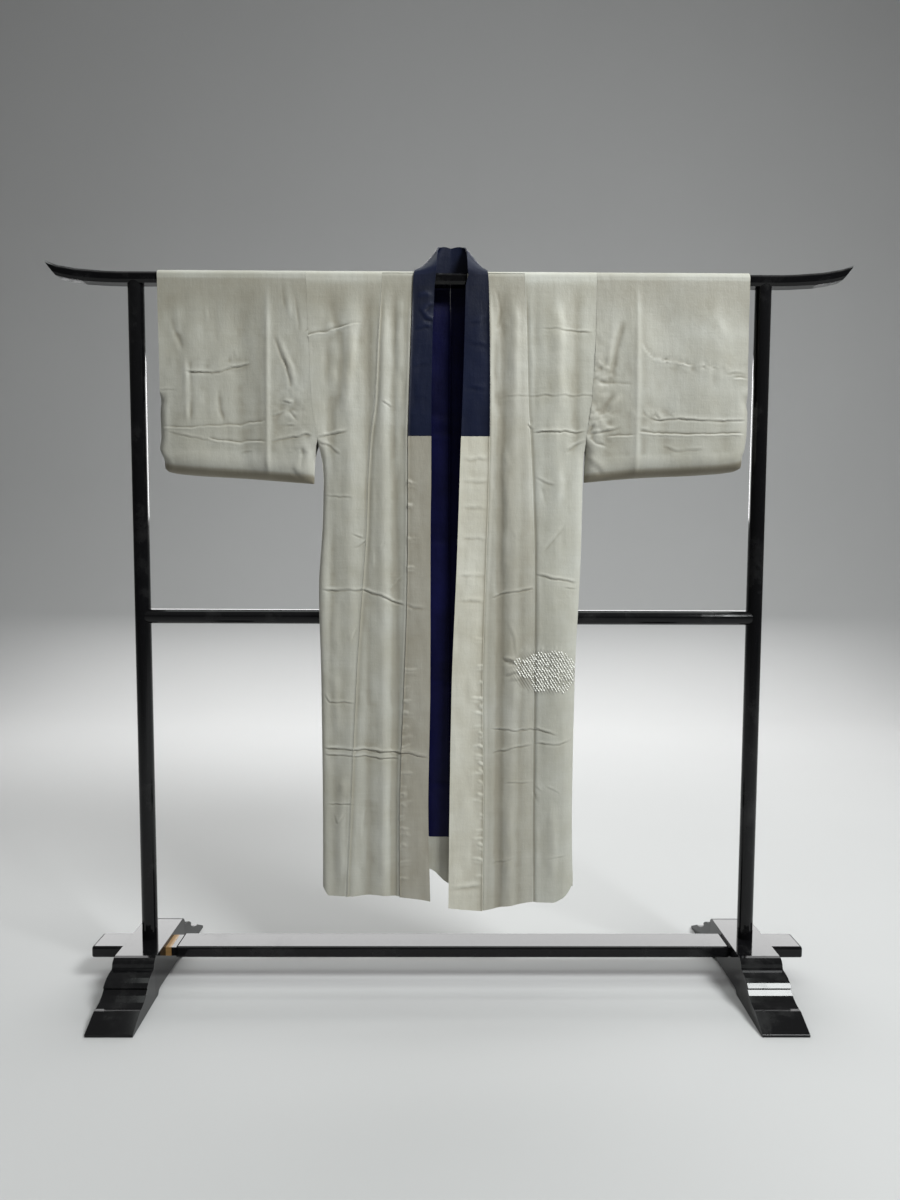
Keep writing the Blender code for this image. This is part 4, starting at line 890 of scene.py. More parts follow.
def cloth_shell(name, points, wall, present, painted_shade):
    """A grid of points as a thin closed shell, with its flat measures as its map."""
    rows, columns = points.shape[:2]
    keep = present.reshape(-1)
    numbers = np.full(rows * columns, -1)
    numbers[keep] = np.arange(keep.sum())
    numbers = numbers.reshape(rows, columns)
    corners = [numbers[:-1, :-1], numbers[:-1, 1:], numbers[1:, 1:], numbers[1:, :-1]]
    faces = np.stack(corners, axis=-1).reshape(-1, 4)
    faces = faces[(faces >= 0).all(axis=1)]
    mesh = bpy.data.meshes.new(name)
    mesh.from_pydata(points.reshape(-1, 3)[keep].tolist(), [], faces.tolist())
    middle = points[:, columns - 2]
    run = np.concatenate([[0.0], np.cumsum(np.linalg.norm(np.diff(middle, axis=0), axis=1))])
    flat = np.stack([points[..., 0], np.broadcast_to(run[:, None], (rows, columns))], axis=-1)
    chart = mesh.uv_layers.new(name="cut")
    corner_points = np.zeros(len(mesh.loops), dtype=int)
    mesh.loops.foreach_get("vertex_index", corner_points)
    chart.data.foreach_set("uv", flat.reshape(-1, 2)[keep][corner_points].ravel())
    # The stand-out share, which the looks read for painted shade and painted highlight
    store_painted_light_share(mesh, painted_light_share(points, painted_shade).reshape(-1)[keep])
    piece = place_in_scene(name, mesh)
    shell = piece.modifiers.new("wall", "SOLIDIFY")
    shell.thickness = wall
    shell.offset = 0.0
    shell.use_even_offset = False
    bpy.context.view_layer.update()
    ready = piece.evaluated_get(bpy.context.evaluated_depsgraph_get())
    solid = bpy.data.meshes.new_from_object(ready)
    piece.modifiers.clear()
    piece.data = solid
    bpy.data.meshes.remove(mesh)
    solid.name = name
    solid.shade_smooth()
    solid.set_sharp_from_angle(angle=FORM_ANGLE)
    return piece


def hang(node, points, wall, ending="silk", present=None, painted_shade=0.0):
    """Builds a sheet in its solid's place and states what it was cut to."""
    if present is None:
        present = np.ones(points.shape[:2], dtype=bool)
    piece = cloth_shell(f"{node}_{ending}", points, wall, present, painted_shade)
    dress(piece.data, LOOKS[node])
    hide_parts(node)
    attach(piece, "root")


# Cloth pieces

def body_columns(side, layer, level, neck, counts):
    """Places of one row of a body panel, from the middle plane to the side seam."""
    seam_level = level if layer == "front" else SHOULDER_Z
    gore = float(read(SEAMS[side], "z", "gore", seam_level)) + 0.5 * SEAM_GAP
    edge = float(read(SEAMS[side], "z", "side", level)) - 0.5 * SEAM_GAP
    middle = stretch(0.5 * SEAM_GAP, neck, counts[0], last=False)[:-1]
    yoke = stretch(neck, gore, counts[1], first=False, last=False)[:-1]
    panel = stretch(gore, edge, counts[2])
    return np.concatenate([middle, yoke, panel])


def body_rows(side, layer, levels, neck, counts):
    rows = []
    for level in levels:
        x = body_columns(side, layer, level, neck, counts)
        z = hem_z(side, layer, x, np.full_like(x, level))
        rows.append(place(side, x, turned_y(side, layer, x, z, level), z))
    return rows


def turned_y(side, layer, x, z, level):
    """Depth of a body layer with its side edge turned in towards the other layer."""
    edge = read(SEAMS[side], "z", "side", level) - 0.5 * SEAM_GAP
    middle = 0.5 * (body_base("front", x, z) + body_base("back", x, z))
    pull = turn_pull(edge - x, SIDE_TURN) * smooth_step((ARMPIT_Z - level) / SIDE_CLOSES_OVER)
    return pulled(body_y(side, layer, x, z), middle, pull, layer)


def ruffle(side, x, share):
    """Small unevenness of the top edge; it only lifts the cloth off the beam."""
    across = SIGN[side] * x / SHOULDER_RUFFLE_LENGTH
    wave = 0.5 + 0.5 * drift(across, 2.0 * np.full_like(x, share), SEEDS["ruffle"])
    return SHOULDER_RUFFLE * wave * math.sin(math.pi * share)


def over_beam(column):
    """A column of the shoulder table at even steps along the way over the beam."""
    way = np.array([SHOULDER["y"], SHOULDER["z"]]).T
    run = np.concatenate([[0.0], np.cumsum(np.linalg.norm(np.diff(way, axis=0), axis=1))])
    return through(run, SHOULDER[column], np.linspace(0.0, run[-1], SHOULDER_STEPS))


def rows_over_beam(side, columns):
    """Rows of a sheet over the beam; columns gives a row's places from its neck edge."""
    rows = []
    shares = np.linspace(0.0, 1.0, SHOULDER_STEPS)
    for share, y, z, neck in zip(shares, over_beam("y"), over_beam("z"), over_beam("neck_x")):
        x = columns(float(neck))
        rows.append(place(side, x, np.full_like(x, y), z + ruffle(side, x, share)))
    return rows


def body_counts():
    """Numbers of columns from the middle to the neck, to the gore's seam and to the side."""
    return (
        steps_between(SHOULDER["neck_x"][2], BACK_STEP),
        steps_between(SEAMS["left"]["gore"][-1] - SHOULDER["neck_x"][2], BACK_STEP),
        steps_between(PANEL_WIDTH, SLEEVE_STEP),
    )


def build_body(side):
    counts = body_counts()
    levels = levels_between(HEM_LEVEL, SHOULDER_Z, FRONT_STEP, FRONT_CREASES[side])
    front = body_rows(side, "front", levels, SHOULDER["neck_x"][0], counts)
    top = rows_over_beam(side, lambda neck: body_columns(side, "back", SHOULDER_Z, neck, counts))
    levels = levels_between(HEM_LEVEL, SHOULDER_Z, BACK_STEP)[::-1]
    back = body_rows(side, "back", levels, SHOULDER["neck_x"][-1], counts)
    points = np.array(front + top + back)
    middle_columns = len(stretch(0.0, 1.0, counts[0], last=False)) - 1
    yoke_columns = middle_columns + len(stretch(0.0, 1.0, counts[1], first=False, last=False)) - 1
    present = np.ones(points.shape[:2], dtype=bool)
    present[: len(front), :yoke_columns] = False
    present[: len(front) + len(top), :middle_columns] = False
    hang(f"body_{side}", points, CLOTH_WALL, present=present)


def front_grid(side, levels, x_from, x_to, count):
    """Points of the front between two lines, each given by a function of the height."""
    rows = []
    for level in levels:
        x = stretch(float(x_from(level)), float(x_to(level)), count)
        z = hem_z(side, "front", x, np.full_like(x, level))
        rows.append(place(side, x, body_y(side, "front", x, z), z))
    return np.array(rows)


def build_gore(side):
    seams = SEAMS[side]
    levels = levels_between(HEM_LEVEL, SHOULDER_Z, FRONT_STEP, FRONT_CREASES[side])
    points = front_grid(
        side,
        levels,
        lambda level: read(seams, "z", "band_inner", level) + GORE_UNDER_BAND,
        lambda level: read(seams, "z", "gore", level) - 0.5 * SEAM_GAP,
        steps_between(GORE_WIDTH, FRONT_STEP),
    )
    last = points[-1].copy()
    last[:, 1] = GORE_TOP["y"]
    last[:, 2] = GORE_TOP["z"]
    points = np.concatenate([points, last[None]])
    hang(f"gore_{side}", points, CLOTH_WALL)


def band_grid(side, levels, wall, creases, step):
    """The band lies on the front: the front's own points moved out, with its own puckers."""
    seams = SEAMS[side]
    points = front_grid(
        side,
        levels,
        lambda level: read(seams, "z", "band_inner", level),
        lambda level: read(seams, "z", "band_outer", level),
        steps_between(BAND_WIDTH, step),
    )
    out = 0.5 * CLOTH_WALL + LAYER_GAP + 0.5 * wall
    points = moved_out(points, out, (0.0, -1.0, 0.0))
    points[..., 1] -= crease_lift(creases, points[..., 0], points[..., 2])
    return points


def build_band(side):
    tucks = tuple((path, TUCK_LIFT, TUCK_WIDTH, 0.0) for path in BAND_TUCKS[side])
    creases = BAND_CREASES[side] + tucks + band_gathers(side)
    levels = levels_between(HEM_LEVEL, BAND_JOIN_Z - SEAM_GAP, BAND_STEP)
    points = band_grid(side, levels, BAND_WALL, creases, FRONT_STEP)
    points[0, :, 2] -= BAND_OVERHANG
    hang(f"front_band_{side}", points, BAND_WALL)


def collar_turn(side, columns):
    """Rows of the collar from the shoulder to the middle of the back."""
    turn = COLLAR_TURN
    knots = np.arange(len(turn["sewn_x"]), dtype=float)
    places = np.linspace(0.0, knots[-1], COLLAR_TURN_ROWS)
    rows = []
    share = (columns - columns[0]) / (columns[-1] - columns[0])
    for where in places:
        sewn = np.array([through(knots, turn[f"sewn_{axis}"], where) for axis in "xyz"])
        free = np.array([through(knots, turn[f"free_{axis}"], where) for axis in "xyz"])
        row = free + (sewn - free) * share[:, None]
        spread = COLLAR_SPREAD[side] + (1.0 - COLLAR_SPREAD[side]) * share
        row[:, 0] = SIGN[side] * row[:, 0] * spread + NECK_MIDDLE_X
        rows.append(row)
    return np.array(rows)


def build_collar():
    halves = {}
    for side in SIGN:
        levels = levels_between(BAND_JOIN_Z, COLLAR_TOP_Z, FRONT_STEP)
        flat = band_grid(side, levels, COLLAR_WALL, COLLAR_CREASES, COLLAR_STEP)
        widest = np.abs(flat[0, :, 0])
        halves[side] = np.concatenate([flat, collar_turn(side, widest)])
    points = np.concatenate([halves["right"], halves["left"][-2::-1]])
    hang("satin_collar", points, COLLAR_WALL, ending="band")


def lining_grid(side, levels):
    """The lining lies on the back: the back's own points, short of its turned side."""
    counts = body_counts()
    rows = np.array(body_rows(side, "back", levels[::-1], SHOULDER["neck_x"][-1], counts))
    edge = np.abs(rows[0, :, 0]).max()
    columns = int((np.abs(rows[0, :, 0]) < edge - SIDE_TURN).sum())
    inward = 0.5 * CLOTH_WALL + LAYER_GAP + 0.5 * LINING_WALL
    points = moved_out(rows[:, :columns], inward, (0.0, -1.0, 0.0))
    points[:, 0, 0] = SIGN[side] * 0.5 * SEAM_GAP
    return points


def build_lining(side):
    points = lining_grid(side, levels_between(FACING_Z + 0.5 * SEAM_GAP, SHOULDER_Z, LINING_STEP))
    hang(f"back_lining_{side}", points, LINING_WALL)


def build_facing(side):
    points = lining_grid(side, levels_between(HEM_LEVEL, FACING_Z - 0.5 * SEAM_GAP, BACK_STEP))
    points[0, :, 2] += FACING_LIFT
    hang(f"hem_facing_{side}", points, LINING_WALL)


def sleeve_columns(side, level, count):
    """Places of one row of a sleeve, and how far each of its edges is closed there."""
    table = SLEEVES[side]
    seam = float(read(SEAMS[side], "z", "side", level)) + 0.5 * SEAM_GAP
    free = float(read(table, "z", "free", level))
    below = float(smooth_step((ARMPIT_Z - level) / SLEEVE_LEAVES_OVER))
    inner = seam + (max(free, seam) - seam) * below
    outer = float(read(table, "cuff_z", "cuff", level))
    x = stretch(inner, outer, count)
    inner_closed = smooth_step((ARMPIT_Z - level) / SLEEVE_CLOSES_OVER)
    outer_closed = smooth_step((CUFF_OPEN_Z - level) / CUFF_CLOSES_OVER)
    pull = np.maximum(
        turn_pull(x - inner, SIDE_TURN) * inner_closed,
        turn_pull(outer - x, SIDE_TURN) * outer_closed,
    )
    return x, pull


def sleeve_rows(side, layer, count, step):
    table = SLEEVES[side]
    creases = SLEEVE_CREASES[layer, side]
    rises = UNDERSIDE_TURN * (1.0 - np.cos(np.linspace(0.0, 0.5 * math.pi, UNDERSIDE_ROWS)))
    above = levels_between(SLEEVE_Z + UNDERSIDE_TURN, SHOULDER_Z, step, creases)[1:]
    levels = np.concatenate([SLEEVE_Z + rises, above])
    rows = []
    for level in levels:
        x, pull = sleeve_columns(side, float(level), count)
        bottom = read(table, "bottom_x", "bottom_z", x)
        share = np.clip((SLEEVE_SETTLE_TOP - level) / (SLEEVE_SETTLE_TOP - SLEEVE_Z), 0.0, 1.0)
        z = level + (bottom - SLEEVE_Z) * share
        middle = 0.5 * (sleeve_base(side, "front", x, z) + sleeve_base(side, "back", x, z))
        under = turn_pull(level - SLEEVE_Z, UNDERSIDE_TURN)
        both = 1.0 - (1.0 - pull) * (1.0 - under)
        y = pulled(sleeve_y(side, layer, x, z), middle, both, layer)
        rows.append(place(side, x, y, z))
    return rows


def build_sleeve(side):
    count = steps_between(SLEEVE_WIDTH, SLEEVE_STEP)
    front = sleeve_rows(side, "front", count, SLEEVE_STEP)
    back = sleeve_rows(side, "back", count, BACK_STEP)
    x, _ = sleeve_columns(side, SHOULDER_Z, count)
    top = rows_over_beam(side, lambda neck: x)
    points = np.array(front + top + back[::-1])
    # Painted shade along the sleeve's rounded lower edge
    bottom = read(SLEEVES[side], "bottom_x", "bottom_z", np.abs(points[..., 0]))
    rise = (points[..., 2] - bottom) / UNDERSIDE_SHADE
    painted_shade = UNDERSIDE_PAINTED_SHADE * smooth_step(1.6 - 1.6 * rise)
    hang(f"sleeve_{side}", points, CLOTH_WALL, painted_shade=painted_shade)


def inside_outline(x, z):
    """Whether a place is inside the patch's outline, by counting the edges to its right."""
    inside = False
    corners = PATCH_OUTLINE
    for (x_from, z_from), (x_to, z_to) in zip(corners, corners[1:] + corners[:1]):
        if (z_from > z) != (z_to > z):
            crossing = x_from + (x_to - x_from) * (z - z_from) / (z_to - z_from)
            inside = inside != (x < crossing)
    return inside


def patch_places(seed):
    """Places of the knots in slanting rows, a little uneven, with some missing."""
    luck = np.random.RandomState(seed)
    along = np.array(PATCH_ROW) / np.linalg.norm(PATCH_ROW)
    across = np.array((-along[1], along[0]))
    corners = np.array(PATCH_OUTLINE)
    middle = corners.mean(axis=0)
    rows = int(np.ptp(corners[:, 0]) / PATCH_ROW_GAP)
    places = []
    for row in range(-rows, rows + 1):
        for step in range(-rows, rows + 1):
            shift = luck.uniform(-0.13, 0.13, 2)
            spot = middle + across * (row + shift[0]) * PATCH_ROW_GAP
            spot = spot + along * (step + 0.5 * (row % 2) + shift[1]) * PATCH_KNOT_GAP
            size = luck.uniform(0.75, 1.25)
            torn = drift(*(spot[:, None] / PATCH_TEAR), SEEDS["torn"])[0] > PATCH_TORN_FROM
            lost = luck.uniform() < PATCH_MISSING
            if inside_outline(*spot) and not torn and not lost:
                places.append((spot[0], spot[1], size))
    return places


def add_knot(form, middle, along, out, size):
    """One raised knot: a low dome that is longer along its row."""
    side = np.cross(out, along)
    rings = []
    for reach, height in ((1.0, -KNOT_SINK), (0.72, 0.62 * KNOT_HEIGHT * size)):
        ring = []
        for index in range(6):
            angle = math.tau * index / 6.0
            offset = along * math.cos(angle) * KNOT_LENGTH + side * math.sin(angle) * KNOT_WIDTH
            ring.append(form.verts.new(middle + offset * reach * size + out * height))
        rings.append(ring)
    top = form.verts.new(middle + out * KNOT_HEIGHT * size)
    bottom = form.verts.new(middle - out * KNOT_SINK)
    for index in range(6):
        after = (index + 1) % 6
        form.faces.new((rings[0][index], rings[0][after], rings[1][after], rings[1][index]))
        form.faces.new((rings[1][index], rings[1][after], top))
        form.faces.new((rings[0][after], rings[0][index], bottom))


def build_knots():
    """The knots of the patch on the left front, and round the side seam on the back."""
    form = bmesh.new()
    step = 0.002
    for layer in ("front", "back"):
        for x, z, size in patch_places(SEEDS[f"{layer}_knots"]):
            around_x = np.array([x, x + step, x])
            around_z = np.array([z, z, z + step])
            edge = float(read(SEAMS["left"], "z", "side", z))
            away = ((edge - x) / PATCH_BACK_REACH) ** 2 + ((z - PATCH_MIDDLE[1]) / PATCH_REACH[1]) ** 2
            if x > edge - 2.0 * step or (layer == "back" and away > 1.0):
                continue
            y = turned_y("left", layer, around_x, around_z, z)
            spots = place("left", around_x, y, around_z)
            right = spots[1] - spots[0]
            upward = spots[2] - spots[0]
            out = np.cross(right, upward)
            out *= (-1.0 if layer == "front" else 1.0) * np.sign(out[1]) / np.linalg.norm(out)
            row = PATCH_ROW[0] * right + PATCH_ROW[1] * upward
            row /= np.linalg.norm(row)
            add_knot(form, spots[0] + 0.5 * CLOTH_WALL * out, row, out, size)
    bmesh.ops.recalc_face_normals(form, faces=form.faces[:])
    mesh = mesh_from(form, "kanoko_knots")
    dress(mesh, LOOKS["knots"])
    # The knots are painted lighter, as a painted highlight
    store_painted_light_share(mesh, np.full(len(mesh.vertices), KNOT_PAINTED_HIGHLIGHT))
    knots = place_in_scene("kanoko_knots", mesh)
    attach(knots, "root")


# Shader building blocks

# Threads in a metre of silk, how high they stand, and the painted shade of hollows and painted highlight of
# crests
THREADS = 900.0
THREAD_HEIGHT = 0.00012
HOLLOW_PAINTED_SHADE = (0.50, 0.455, 0.38, 1.0)
CREST_PAINTED_HIGHLIGHT = (1.20, 1.20, 1.22, 1.0)
# Dust on lacquer, the height of its waves, and the two tones of bare wood
DUST = (0.030, 0.030, 0.030, 1.0)
LACQUER_WAVE = 0.0006
WOOD = ((0.13, 0.06, 0.02, 1.0), (0.42, 0.26, 0.10, 1.0))


def new_group(name, inputs, outputs):
    """A shader group with a vector and other numbers (with defaults) in, and numbers out."""
    group = bpy.data.node_groups.new(name, "ShaderNodeTree")
    group.interface.new_socket("Vector", in_out="INPUT", socket_type="NodeSocketVector")
    for label, default in inputs.items():
        socket = group.interface.new_socket(label, in_out="INPUT", socket_type="NodeSocketFloat")
        socket.default_value = default
    for label in outputs:
        group.interface.new_socket(label, in_out="OUTPUT", socket_type="NodeSocketFloat")
    entry = group.nodes.new("NodeGroupInput")
    leave = group.nodes.new("NodeGroupOutput")
    return group, Wiring(group), entry.outputs, leave.inputs


class Wiring:
    """Short ways to add and join nodes in one tree."""

    def __init__(self, tree):
        self.tree = tree

    def add(self, kind, **settings):
        node = self.tree.nodes.new(kind)
        for key, value in settings.items():
            setattr(node, key, value)
        return node

    def join(self, source, target):
        self.tree.links.new(source, target)

    def feed(self, socket, value):
        if isinstance(value, bpy.types.NodeSocket):
            self.join(value, socket)
        else:
            socket.default_value = value

    def fed(self, node, values):
        """A node with its sockets fed, by their names or places."""
        for key, value in values.items():
            self.feed(node.inputs[key], value)
        return node

    def math(self, operation, first, second=0.0):
        node = self.add("ShaderNodeMath", operation=operation)
        return self.fed(node, {0: first, 1: second}).outputs[0]

    def scaled(self, vector, scale):
        node = self.add("ShaderNodeVectorMath", operation="MULTIPLY")
        return self.fed(node, {0: vector, 1: scale}).outputs[0]

    def parts(self, vector):
        return self.fed(self.add("ShaderNodeSeparateXYZ"), {0: vector}).outputs

    def noise(self, vector, scale, detail=2.0, roughness=0.5):
        values = {"Vector": vector, "Scale": scale, "Detail": detail, "Roughness": roughness}
        return self.fed(self.add("ShaderNodeTexNoise"), values).outputs["Fac"]

    def remap(self, value, from_low, from_high, to_low=0.0, to_high=1.0):
        values = {"Value": value, "From Min": from_low, "From Max": from_high,
                  "To Min": to_low, "To Max": to_high}
        return self.fed(self.add("ShaderNodeMapRange"), values).outputs["Result"]

    def mix(self, share, first, second, blend="MIX"):
        node = self.add("ShaderNodeMix", data_type="RGBA", blend_type=blend)
        return self.fed(node, {"Factor": share, "A": first, "B": second}).outputs["Result"]

    def bump(self, height, strength, distance, under=None):
        """A normal from a height, on top of another normal if there is one."""
        values = {"Height": height, "Strength": strength, "Distance": distance}
        if under is not None:
            values["Normal"] = under
        return self.fed(self.add("ShaderNodeBump"), values).outputs["Normal"]

    def group(self, group, **values):
        return self.fed(self.add("ShaderNodeGroup", node_tree=group), values).outputs

    def place(self):
        return self.add("ShaderNodeTexCoord").outputs["Object"]


def weave_group():
    """Threads both ways with slubs: a shade near one and a height."""
    group, w, given, result = new_group("weave", {"Slub": 0.06}, ("Shade", "Height"))
    vector = given["Vector"]
    fine = w.noise(w.scaled(vector, (1.0, 1.0, 0.10)), THREADS, 1.0)
    cross = w.noise(w.scaled(vector, (0.10, 0.10, 1.0)), THREADS, 1.0)
    slub = w.noise(w.scaled(vector, (1.0, 1.0, 0.04)), 220.0, 2.0)
    pick = w.noise(w.scaled(vector, (0.04, 0.04, 1.0)), 260.0, 2.0)
    threads = w.math("ADD", fine, cross)
    uneven = w.math("ADD", slub, pick)
    swing = w.math("MULTIPLY", w.math("SUBTRACT", uneven, 1.0), given["Slub"])
    grain = w.math("MULTIPLY", w.math("SUBTRACT", threads, 1.0), 0.5)
    grain = w.math("MULTIPLY", grain, given["Slub"])
    w.join(w.math("ADD", w.math("ADD", swing, grain), 1.0), result["Shade"])
    w.join(w.math("ADD", threads, uneven), result["Height"])
    return group


def crinkle_group():
    """Fine upright rumples of soft silk and the marks of its folds, as a height."""
    group, w, given, result = new_group("crinkle", {}, ("Height", "Mottle"))
    vector = given["Vector"]
    upright = w.noise(w.scaled(vector, (1.0, 1.0, 0.22)), 55.0, 3.0, 0.55)
    even = w.noise(vector, 95.0, 3.0, 0.6)
    crepe = w.noise(w.scaled(vector, (1.0, 1.0, 0.7)), 320.0, 2.0, 0.6)
    level = w.noise(w.scaled(vector, (0.25, 0.25, 1.0)), 42.0, 2.0, 0.5)
    total = w.math("ADD", w.math("MULTIPLY", upright, 1.2), w.math("MULTIPLY", even, 0.5))
    total = w.math("ADD", total, w.math("MULTIPLY", level, 0.6))
    total = w.math("ADD", total, w.math("MULTIPLY", crepe, 0.28))
    w.join(total, result["Height"])
    w.join(w.noise(vector, 9.0, 4.0, 0.6), result["Mottle"])
    return group


def patch_gap_shade_group():
    """Painted shade on the gathered ground of the dyed patch: dark gaps between its rows of knots."""
    group, w, given, result = new_group("patch_ground", {}, ("Gap",))
    parts = w.parts(given["Vector"])
    along = np.array(PATCH_ROW) / np.linalg.norm(PATCH_ROW)
    middle = np.array(PATCH_OUTLINE).mean(axis=0)
    offset = float(middle @ np.array((-along[1], along[0])))
    across = w.math("MULTIPLY", parts["X"], float(-along[1]))
    across = w.math("ADD", across, w.math("MULTIPLY", parts["Z"], float(along[0])))
    turns = w.math("DIVIDE", w.math("SUBTRACT", across, offset), PATCH_ROW_GAP)
    wave = w.math("COSINE", w.math("MULTIPLY", turns, math.tau))
    gap = w.remap(wave, 0.3, -0.8)
    away = 0.0
    for axis, centre, reach in zip("XZ", PATCH_MIDDLE, PATCH_REACH):
        share = w.math("DIVIDE", w.math("SUBTRACT", parts[axis], centre), reach)
        away = w.math("ADD", w.math("MULTIPLY", share, share), away)
    gap = w.math("MULTIPLY", gap, w.remap(away, 1.25, 0.70))
    front = w.math("LESS_THAN", parts["Y"], PATCH_FRONT_Y)
    wrapped = w.remap(parts["X"], PATCH_BACK_X - PATCH_BACK_FADE, PATCH_BACK_X + PATCH_BACK_FADE)
    gap = w.math("MULTIPLY", gap, w.math("MAXIMUM", front, wrapped))
    w.join(gap, result["Gap"])
    return group


def wear_group():
    """Dust, fine scratches and hand marks on a polished surface: a mask."""
    group, w, given, result = new_group("polish_wear", {}, ("Marks", "Waves"))
    vector = given["Vector"]
    blotch = w.remap(w.noise(vector, 14.0, 5.0, 0.65), 0.52, 0.80)
    speck = w.remap(w.noise(vector, 420.0, 2.0, 0.7), 0.66, 0.80)
    w.join(w.math("MAXIMUM", w.math("MULTIPLY", blotch, 0.6), speck), result["Marks"])
    w.join(w.noise(vector, 5.0, 2.0), result["Waves"])
    return group


def new_look(name, roughness, settings):
    """A material with its Principled shader and its constants set on the shader."""
    look = bpy.data.materials.new(name)
    look.use_nodes = True
    w = Wiring(look.node_tree)
    surface = look.node_tree.nodes["Principled BSDF"].inputs
    surface["Roughness"].default_value = roughness
    for label, value in settings.items():
        surface[label].default_value = value
    return look, w, surface


def solid_colour(colour, share=1.0):
    return (*[share * part for part in colour], 1.0)


def cloth_look(name, groups, colours, roughness, slub, relief, settings, patch=False):
    """Silk of one kind: two tones that the weave and the mottle mix, painted shade in hollows and painted
    highlight on crests, and two heights of bump.
    """
    colour, shade_colour = colours
    look, w, surface = new_look(name, roughness, settings)
    spot = w.place()
    weave = w.group(groups["weave"], Vector=spot, Slub=slub)
    rumple = w.group(groups["crinkle"], Vector=spot)
    blend = w.remap(rumple["Mottle"], 0.30, 0.70)
    tone = w.mix(blend, solid_colour(shade_colour), solid_colour(colour))
    shade = w.fed(w.add("ShaderNodeCombineColor"), dict.fromkeys(("Red", "Green", "Blue"), weave["Shade"]))
    shaded = w.mix(1.0, tone, shade.outputs["Color"], blend="MULTIPLY")
    # Painted shade in hollows and painted highlight on crests, from the stored share
    painted_light = w.add("ShaderNodeAttribute", attribute_name="relief").outputs["Fac"]
    painted_hollow = w.mix(1.0, shaded, HOLLOW_PAINTED_SHADE, blend="MULTIPLY")
    painted_crest = w.mix(1.0, shaded, CREST_PAINTED_HIGHLIGHT, blend="MULTIPLY")
    shaded = w.mix(w.remap(painted_light, 0.5, 0.0), shaded, painted_hollow)
    shaded = w.mix(w.remap(painted_light, 0.5, 1.0), shaded, painted_crest)
    if patch:
        # Painted shade in the gaps between the patch's rows of knots
        gap = w.group(groups["patch"], Vector=spot)["Gap"]
        shaded = w.mix(w.math("MULTIPLY", gap, 0.7), shaded, solid_colour(shade_colour, 0.35))
    w.join(shaded, surface["Base Color"])
    rough = w.remap(weave["Height"], 1.2, 2.8, roughness - 0.07, roughness + 0.07)
    w.join(rough, surface["Roughness"])
    coarse = w.bump(rumple["Height"], 1.0, relief)
    w.join(w.bump(weave["Height"], 0.5, THREAD_HEIGHT, coarse), surface["Normal"])
    return look


def lacquer_look(name, groups, colour, bare=None):
    """Black lacquer with a slight wave, dust and hand marks; bare wood past a given place."""
    settings = {"Coat Weight": 0.12, "Coat Roughness": 0.04, "Specular IOR Level": 0.20}
    look, w, surface = new_look(name, 0.1, settings)
    spot = w.place()
    wear = w.group(groups["wear"], Vector=spot)
    tone = w.mix(wear["Marks"], solid_colour(colour), DUST)
    rough = w.remap(wear["Marks"], 0.0, 1.0, 0.09, 0.34)
    w.join(w.bump(wear["Waves"], 0.35, LACQUER_WAVE), surface["Normal"])
    if bare is not None:
        past = w.math("LESS_THAN", w.parts(spot)["X"], bare)
        grain = w.noise(w.scaled(spot, (0.08, 1.0, 1.0)), 260.0, 3.0)
        tone = w.mix(past, tone, w.mix(grain, *WOOD))
        rough = w.math("ADD", rough, w.math("MULTIPLY", past, 0.35))
    w.join(tone, surface["Base Color"])
    w.join(rough, surface["Roughness"])
    return look


# Settings that a user would change

def colour_setting(name, description, colour):
    return bpy.props.FloatVectorProperty(
        name=name, description=description, subtype="COLOR", size=3, min=0.0, max=1.0, default=colour,
    )


class ClothSettings(bpy.types.PropertyGroup):
    silk: colour_setting("Silk", "Lighter tone of the plain silk", (0.450, 0.448, 0.398))
    silk_shade: colour_setting("Silk shade", "Darker tone of the plain silk", (0.378, 0.365, 0.302))
    satin: colour_setting("Satin", "Colour of the satin collar", (0.0060, 0.0098, 0.0310))
    lining: colour_setting("Lining", "Colour of the back lining", (0.0060, 0.0065, 0.0480))
    knots: colour_setting("Knots", "Colour of the patch's raised knots", (0.95, 0.95, 0.88))
    rumple: bpy.props.FloatProperty(
        name="Rumple", description="Height of the fine rumples", subtype="DISTANCE",
        unit="LENGTH", min=0.0, max=0.003, default=0.0008,
    )


class StandSettings(bpy.types.PropertyGroup):
    lacquer: colour_setting("Lacquer", "Colour of the lacquer", (0.004, 0.004, 0.0045))
    bare_from: bpy.props.FloatProperty(
        name="Bare tenon", description="The base bar shows bare wood beyond this place, towards -X",
        subtype="DISTANCE", unit="LENGTH", default=-0.6365,
    )


class StudioSettings(bpy.types.PropertyGroup):
    floor: colour_setting("Floor", "Colour of the floor and backdrop", (0.50, 0.50, 0.50))
    lens: bpy.props.FloatProperty(
        name="Lens", description="Focal length on a 36 mm high image", subtype="DISTANCE_CAMERA",
        unit="CAMERA", default=24.0,
    )
    key_power: bpy.props.FloatProperty(
        name="Key light", description="Strength of the large light", subtype="POWER",
        unit="POWER", min=0.0, default=212.0,
    )


# Painted light and shade: how light and how warm each silk piece is painted beside the others
SILK_PAINTED_LIGHT = {
    "body_left": (1.08, -0.01),
    "body_right": (1.05, 0.0),
    "gore_left": (0.93, 0.01),
    "gore_right": (1.00, 0.0),
    "front_band_left": (1.40, 0.01),
    "front_band_right": (0.76, 0.04),
    "sleeve_left": (0.90, 0.0),
    "sleeve_right": (0.98, 0.0),
    "hem_facing_left": (1.3, 0.0),
    "hem_facing_right": (1.3, 0.0),
}
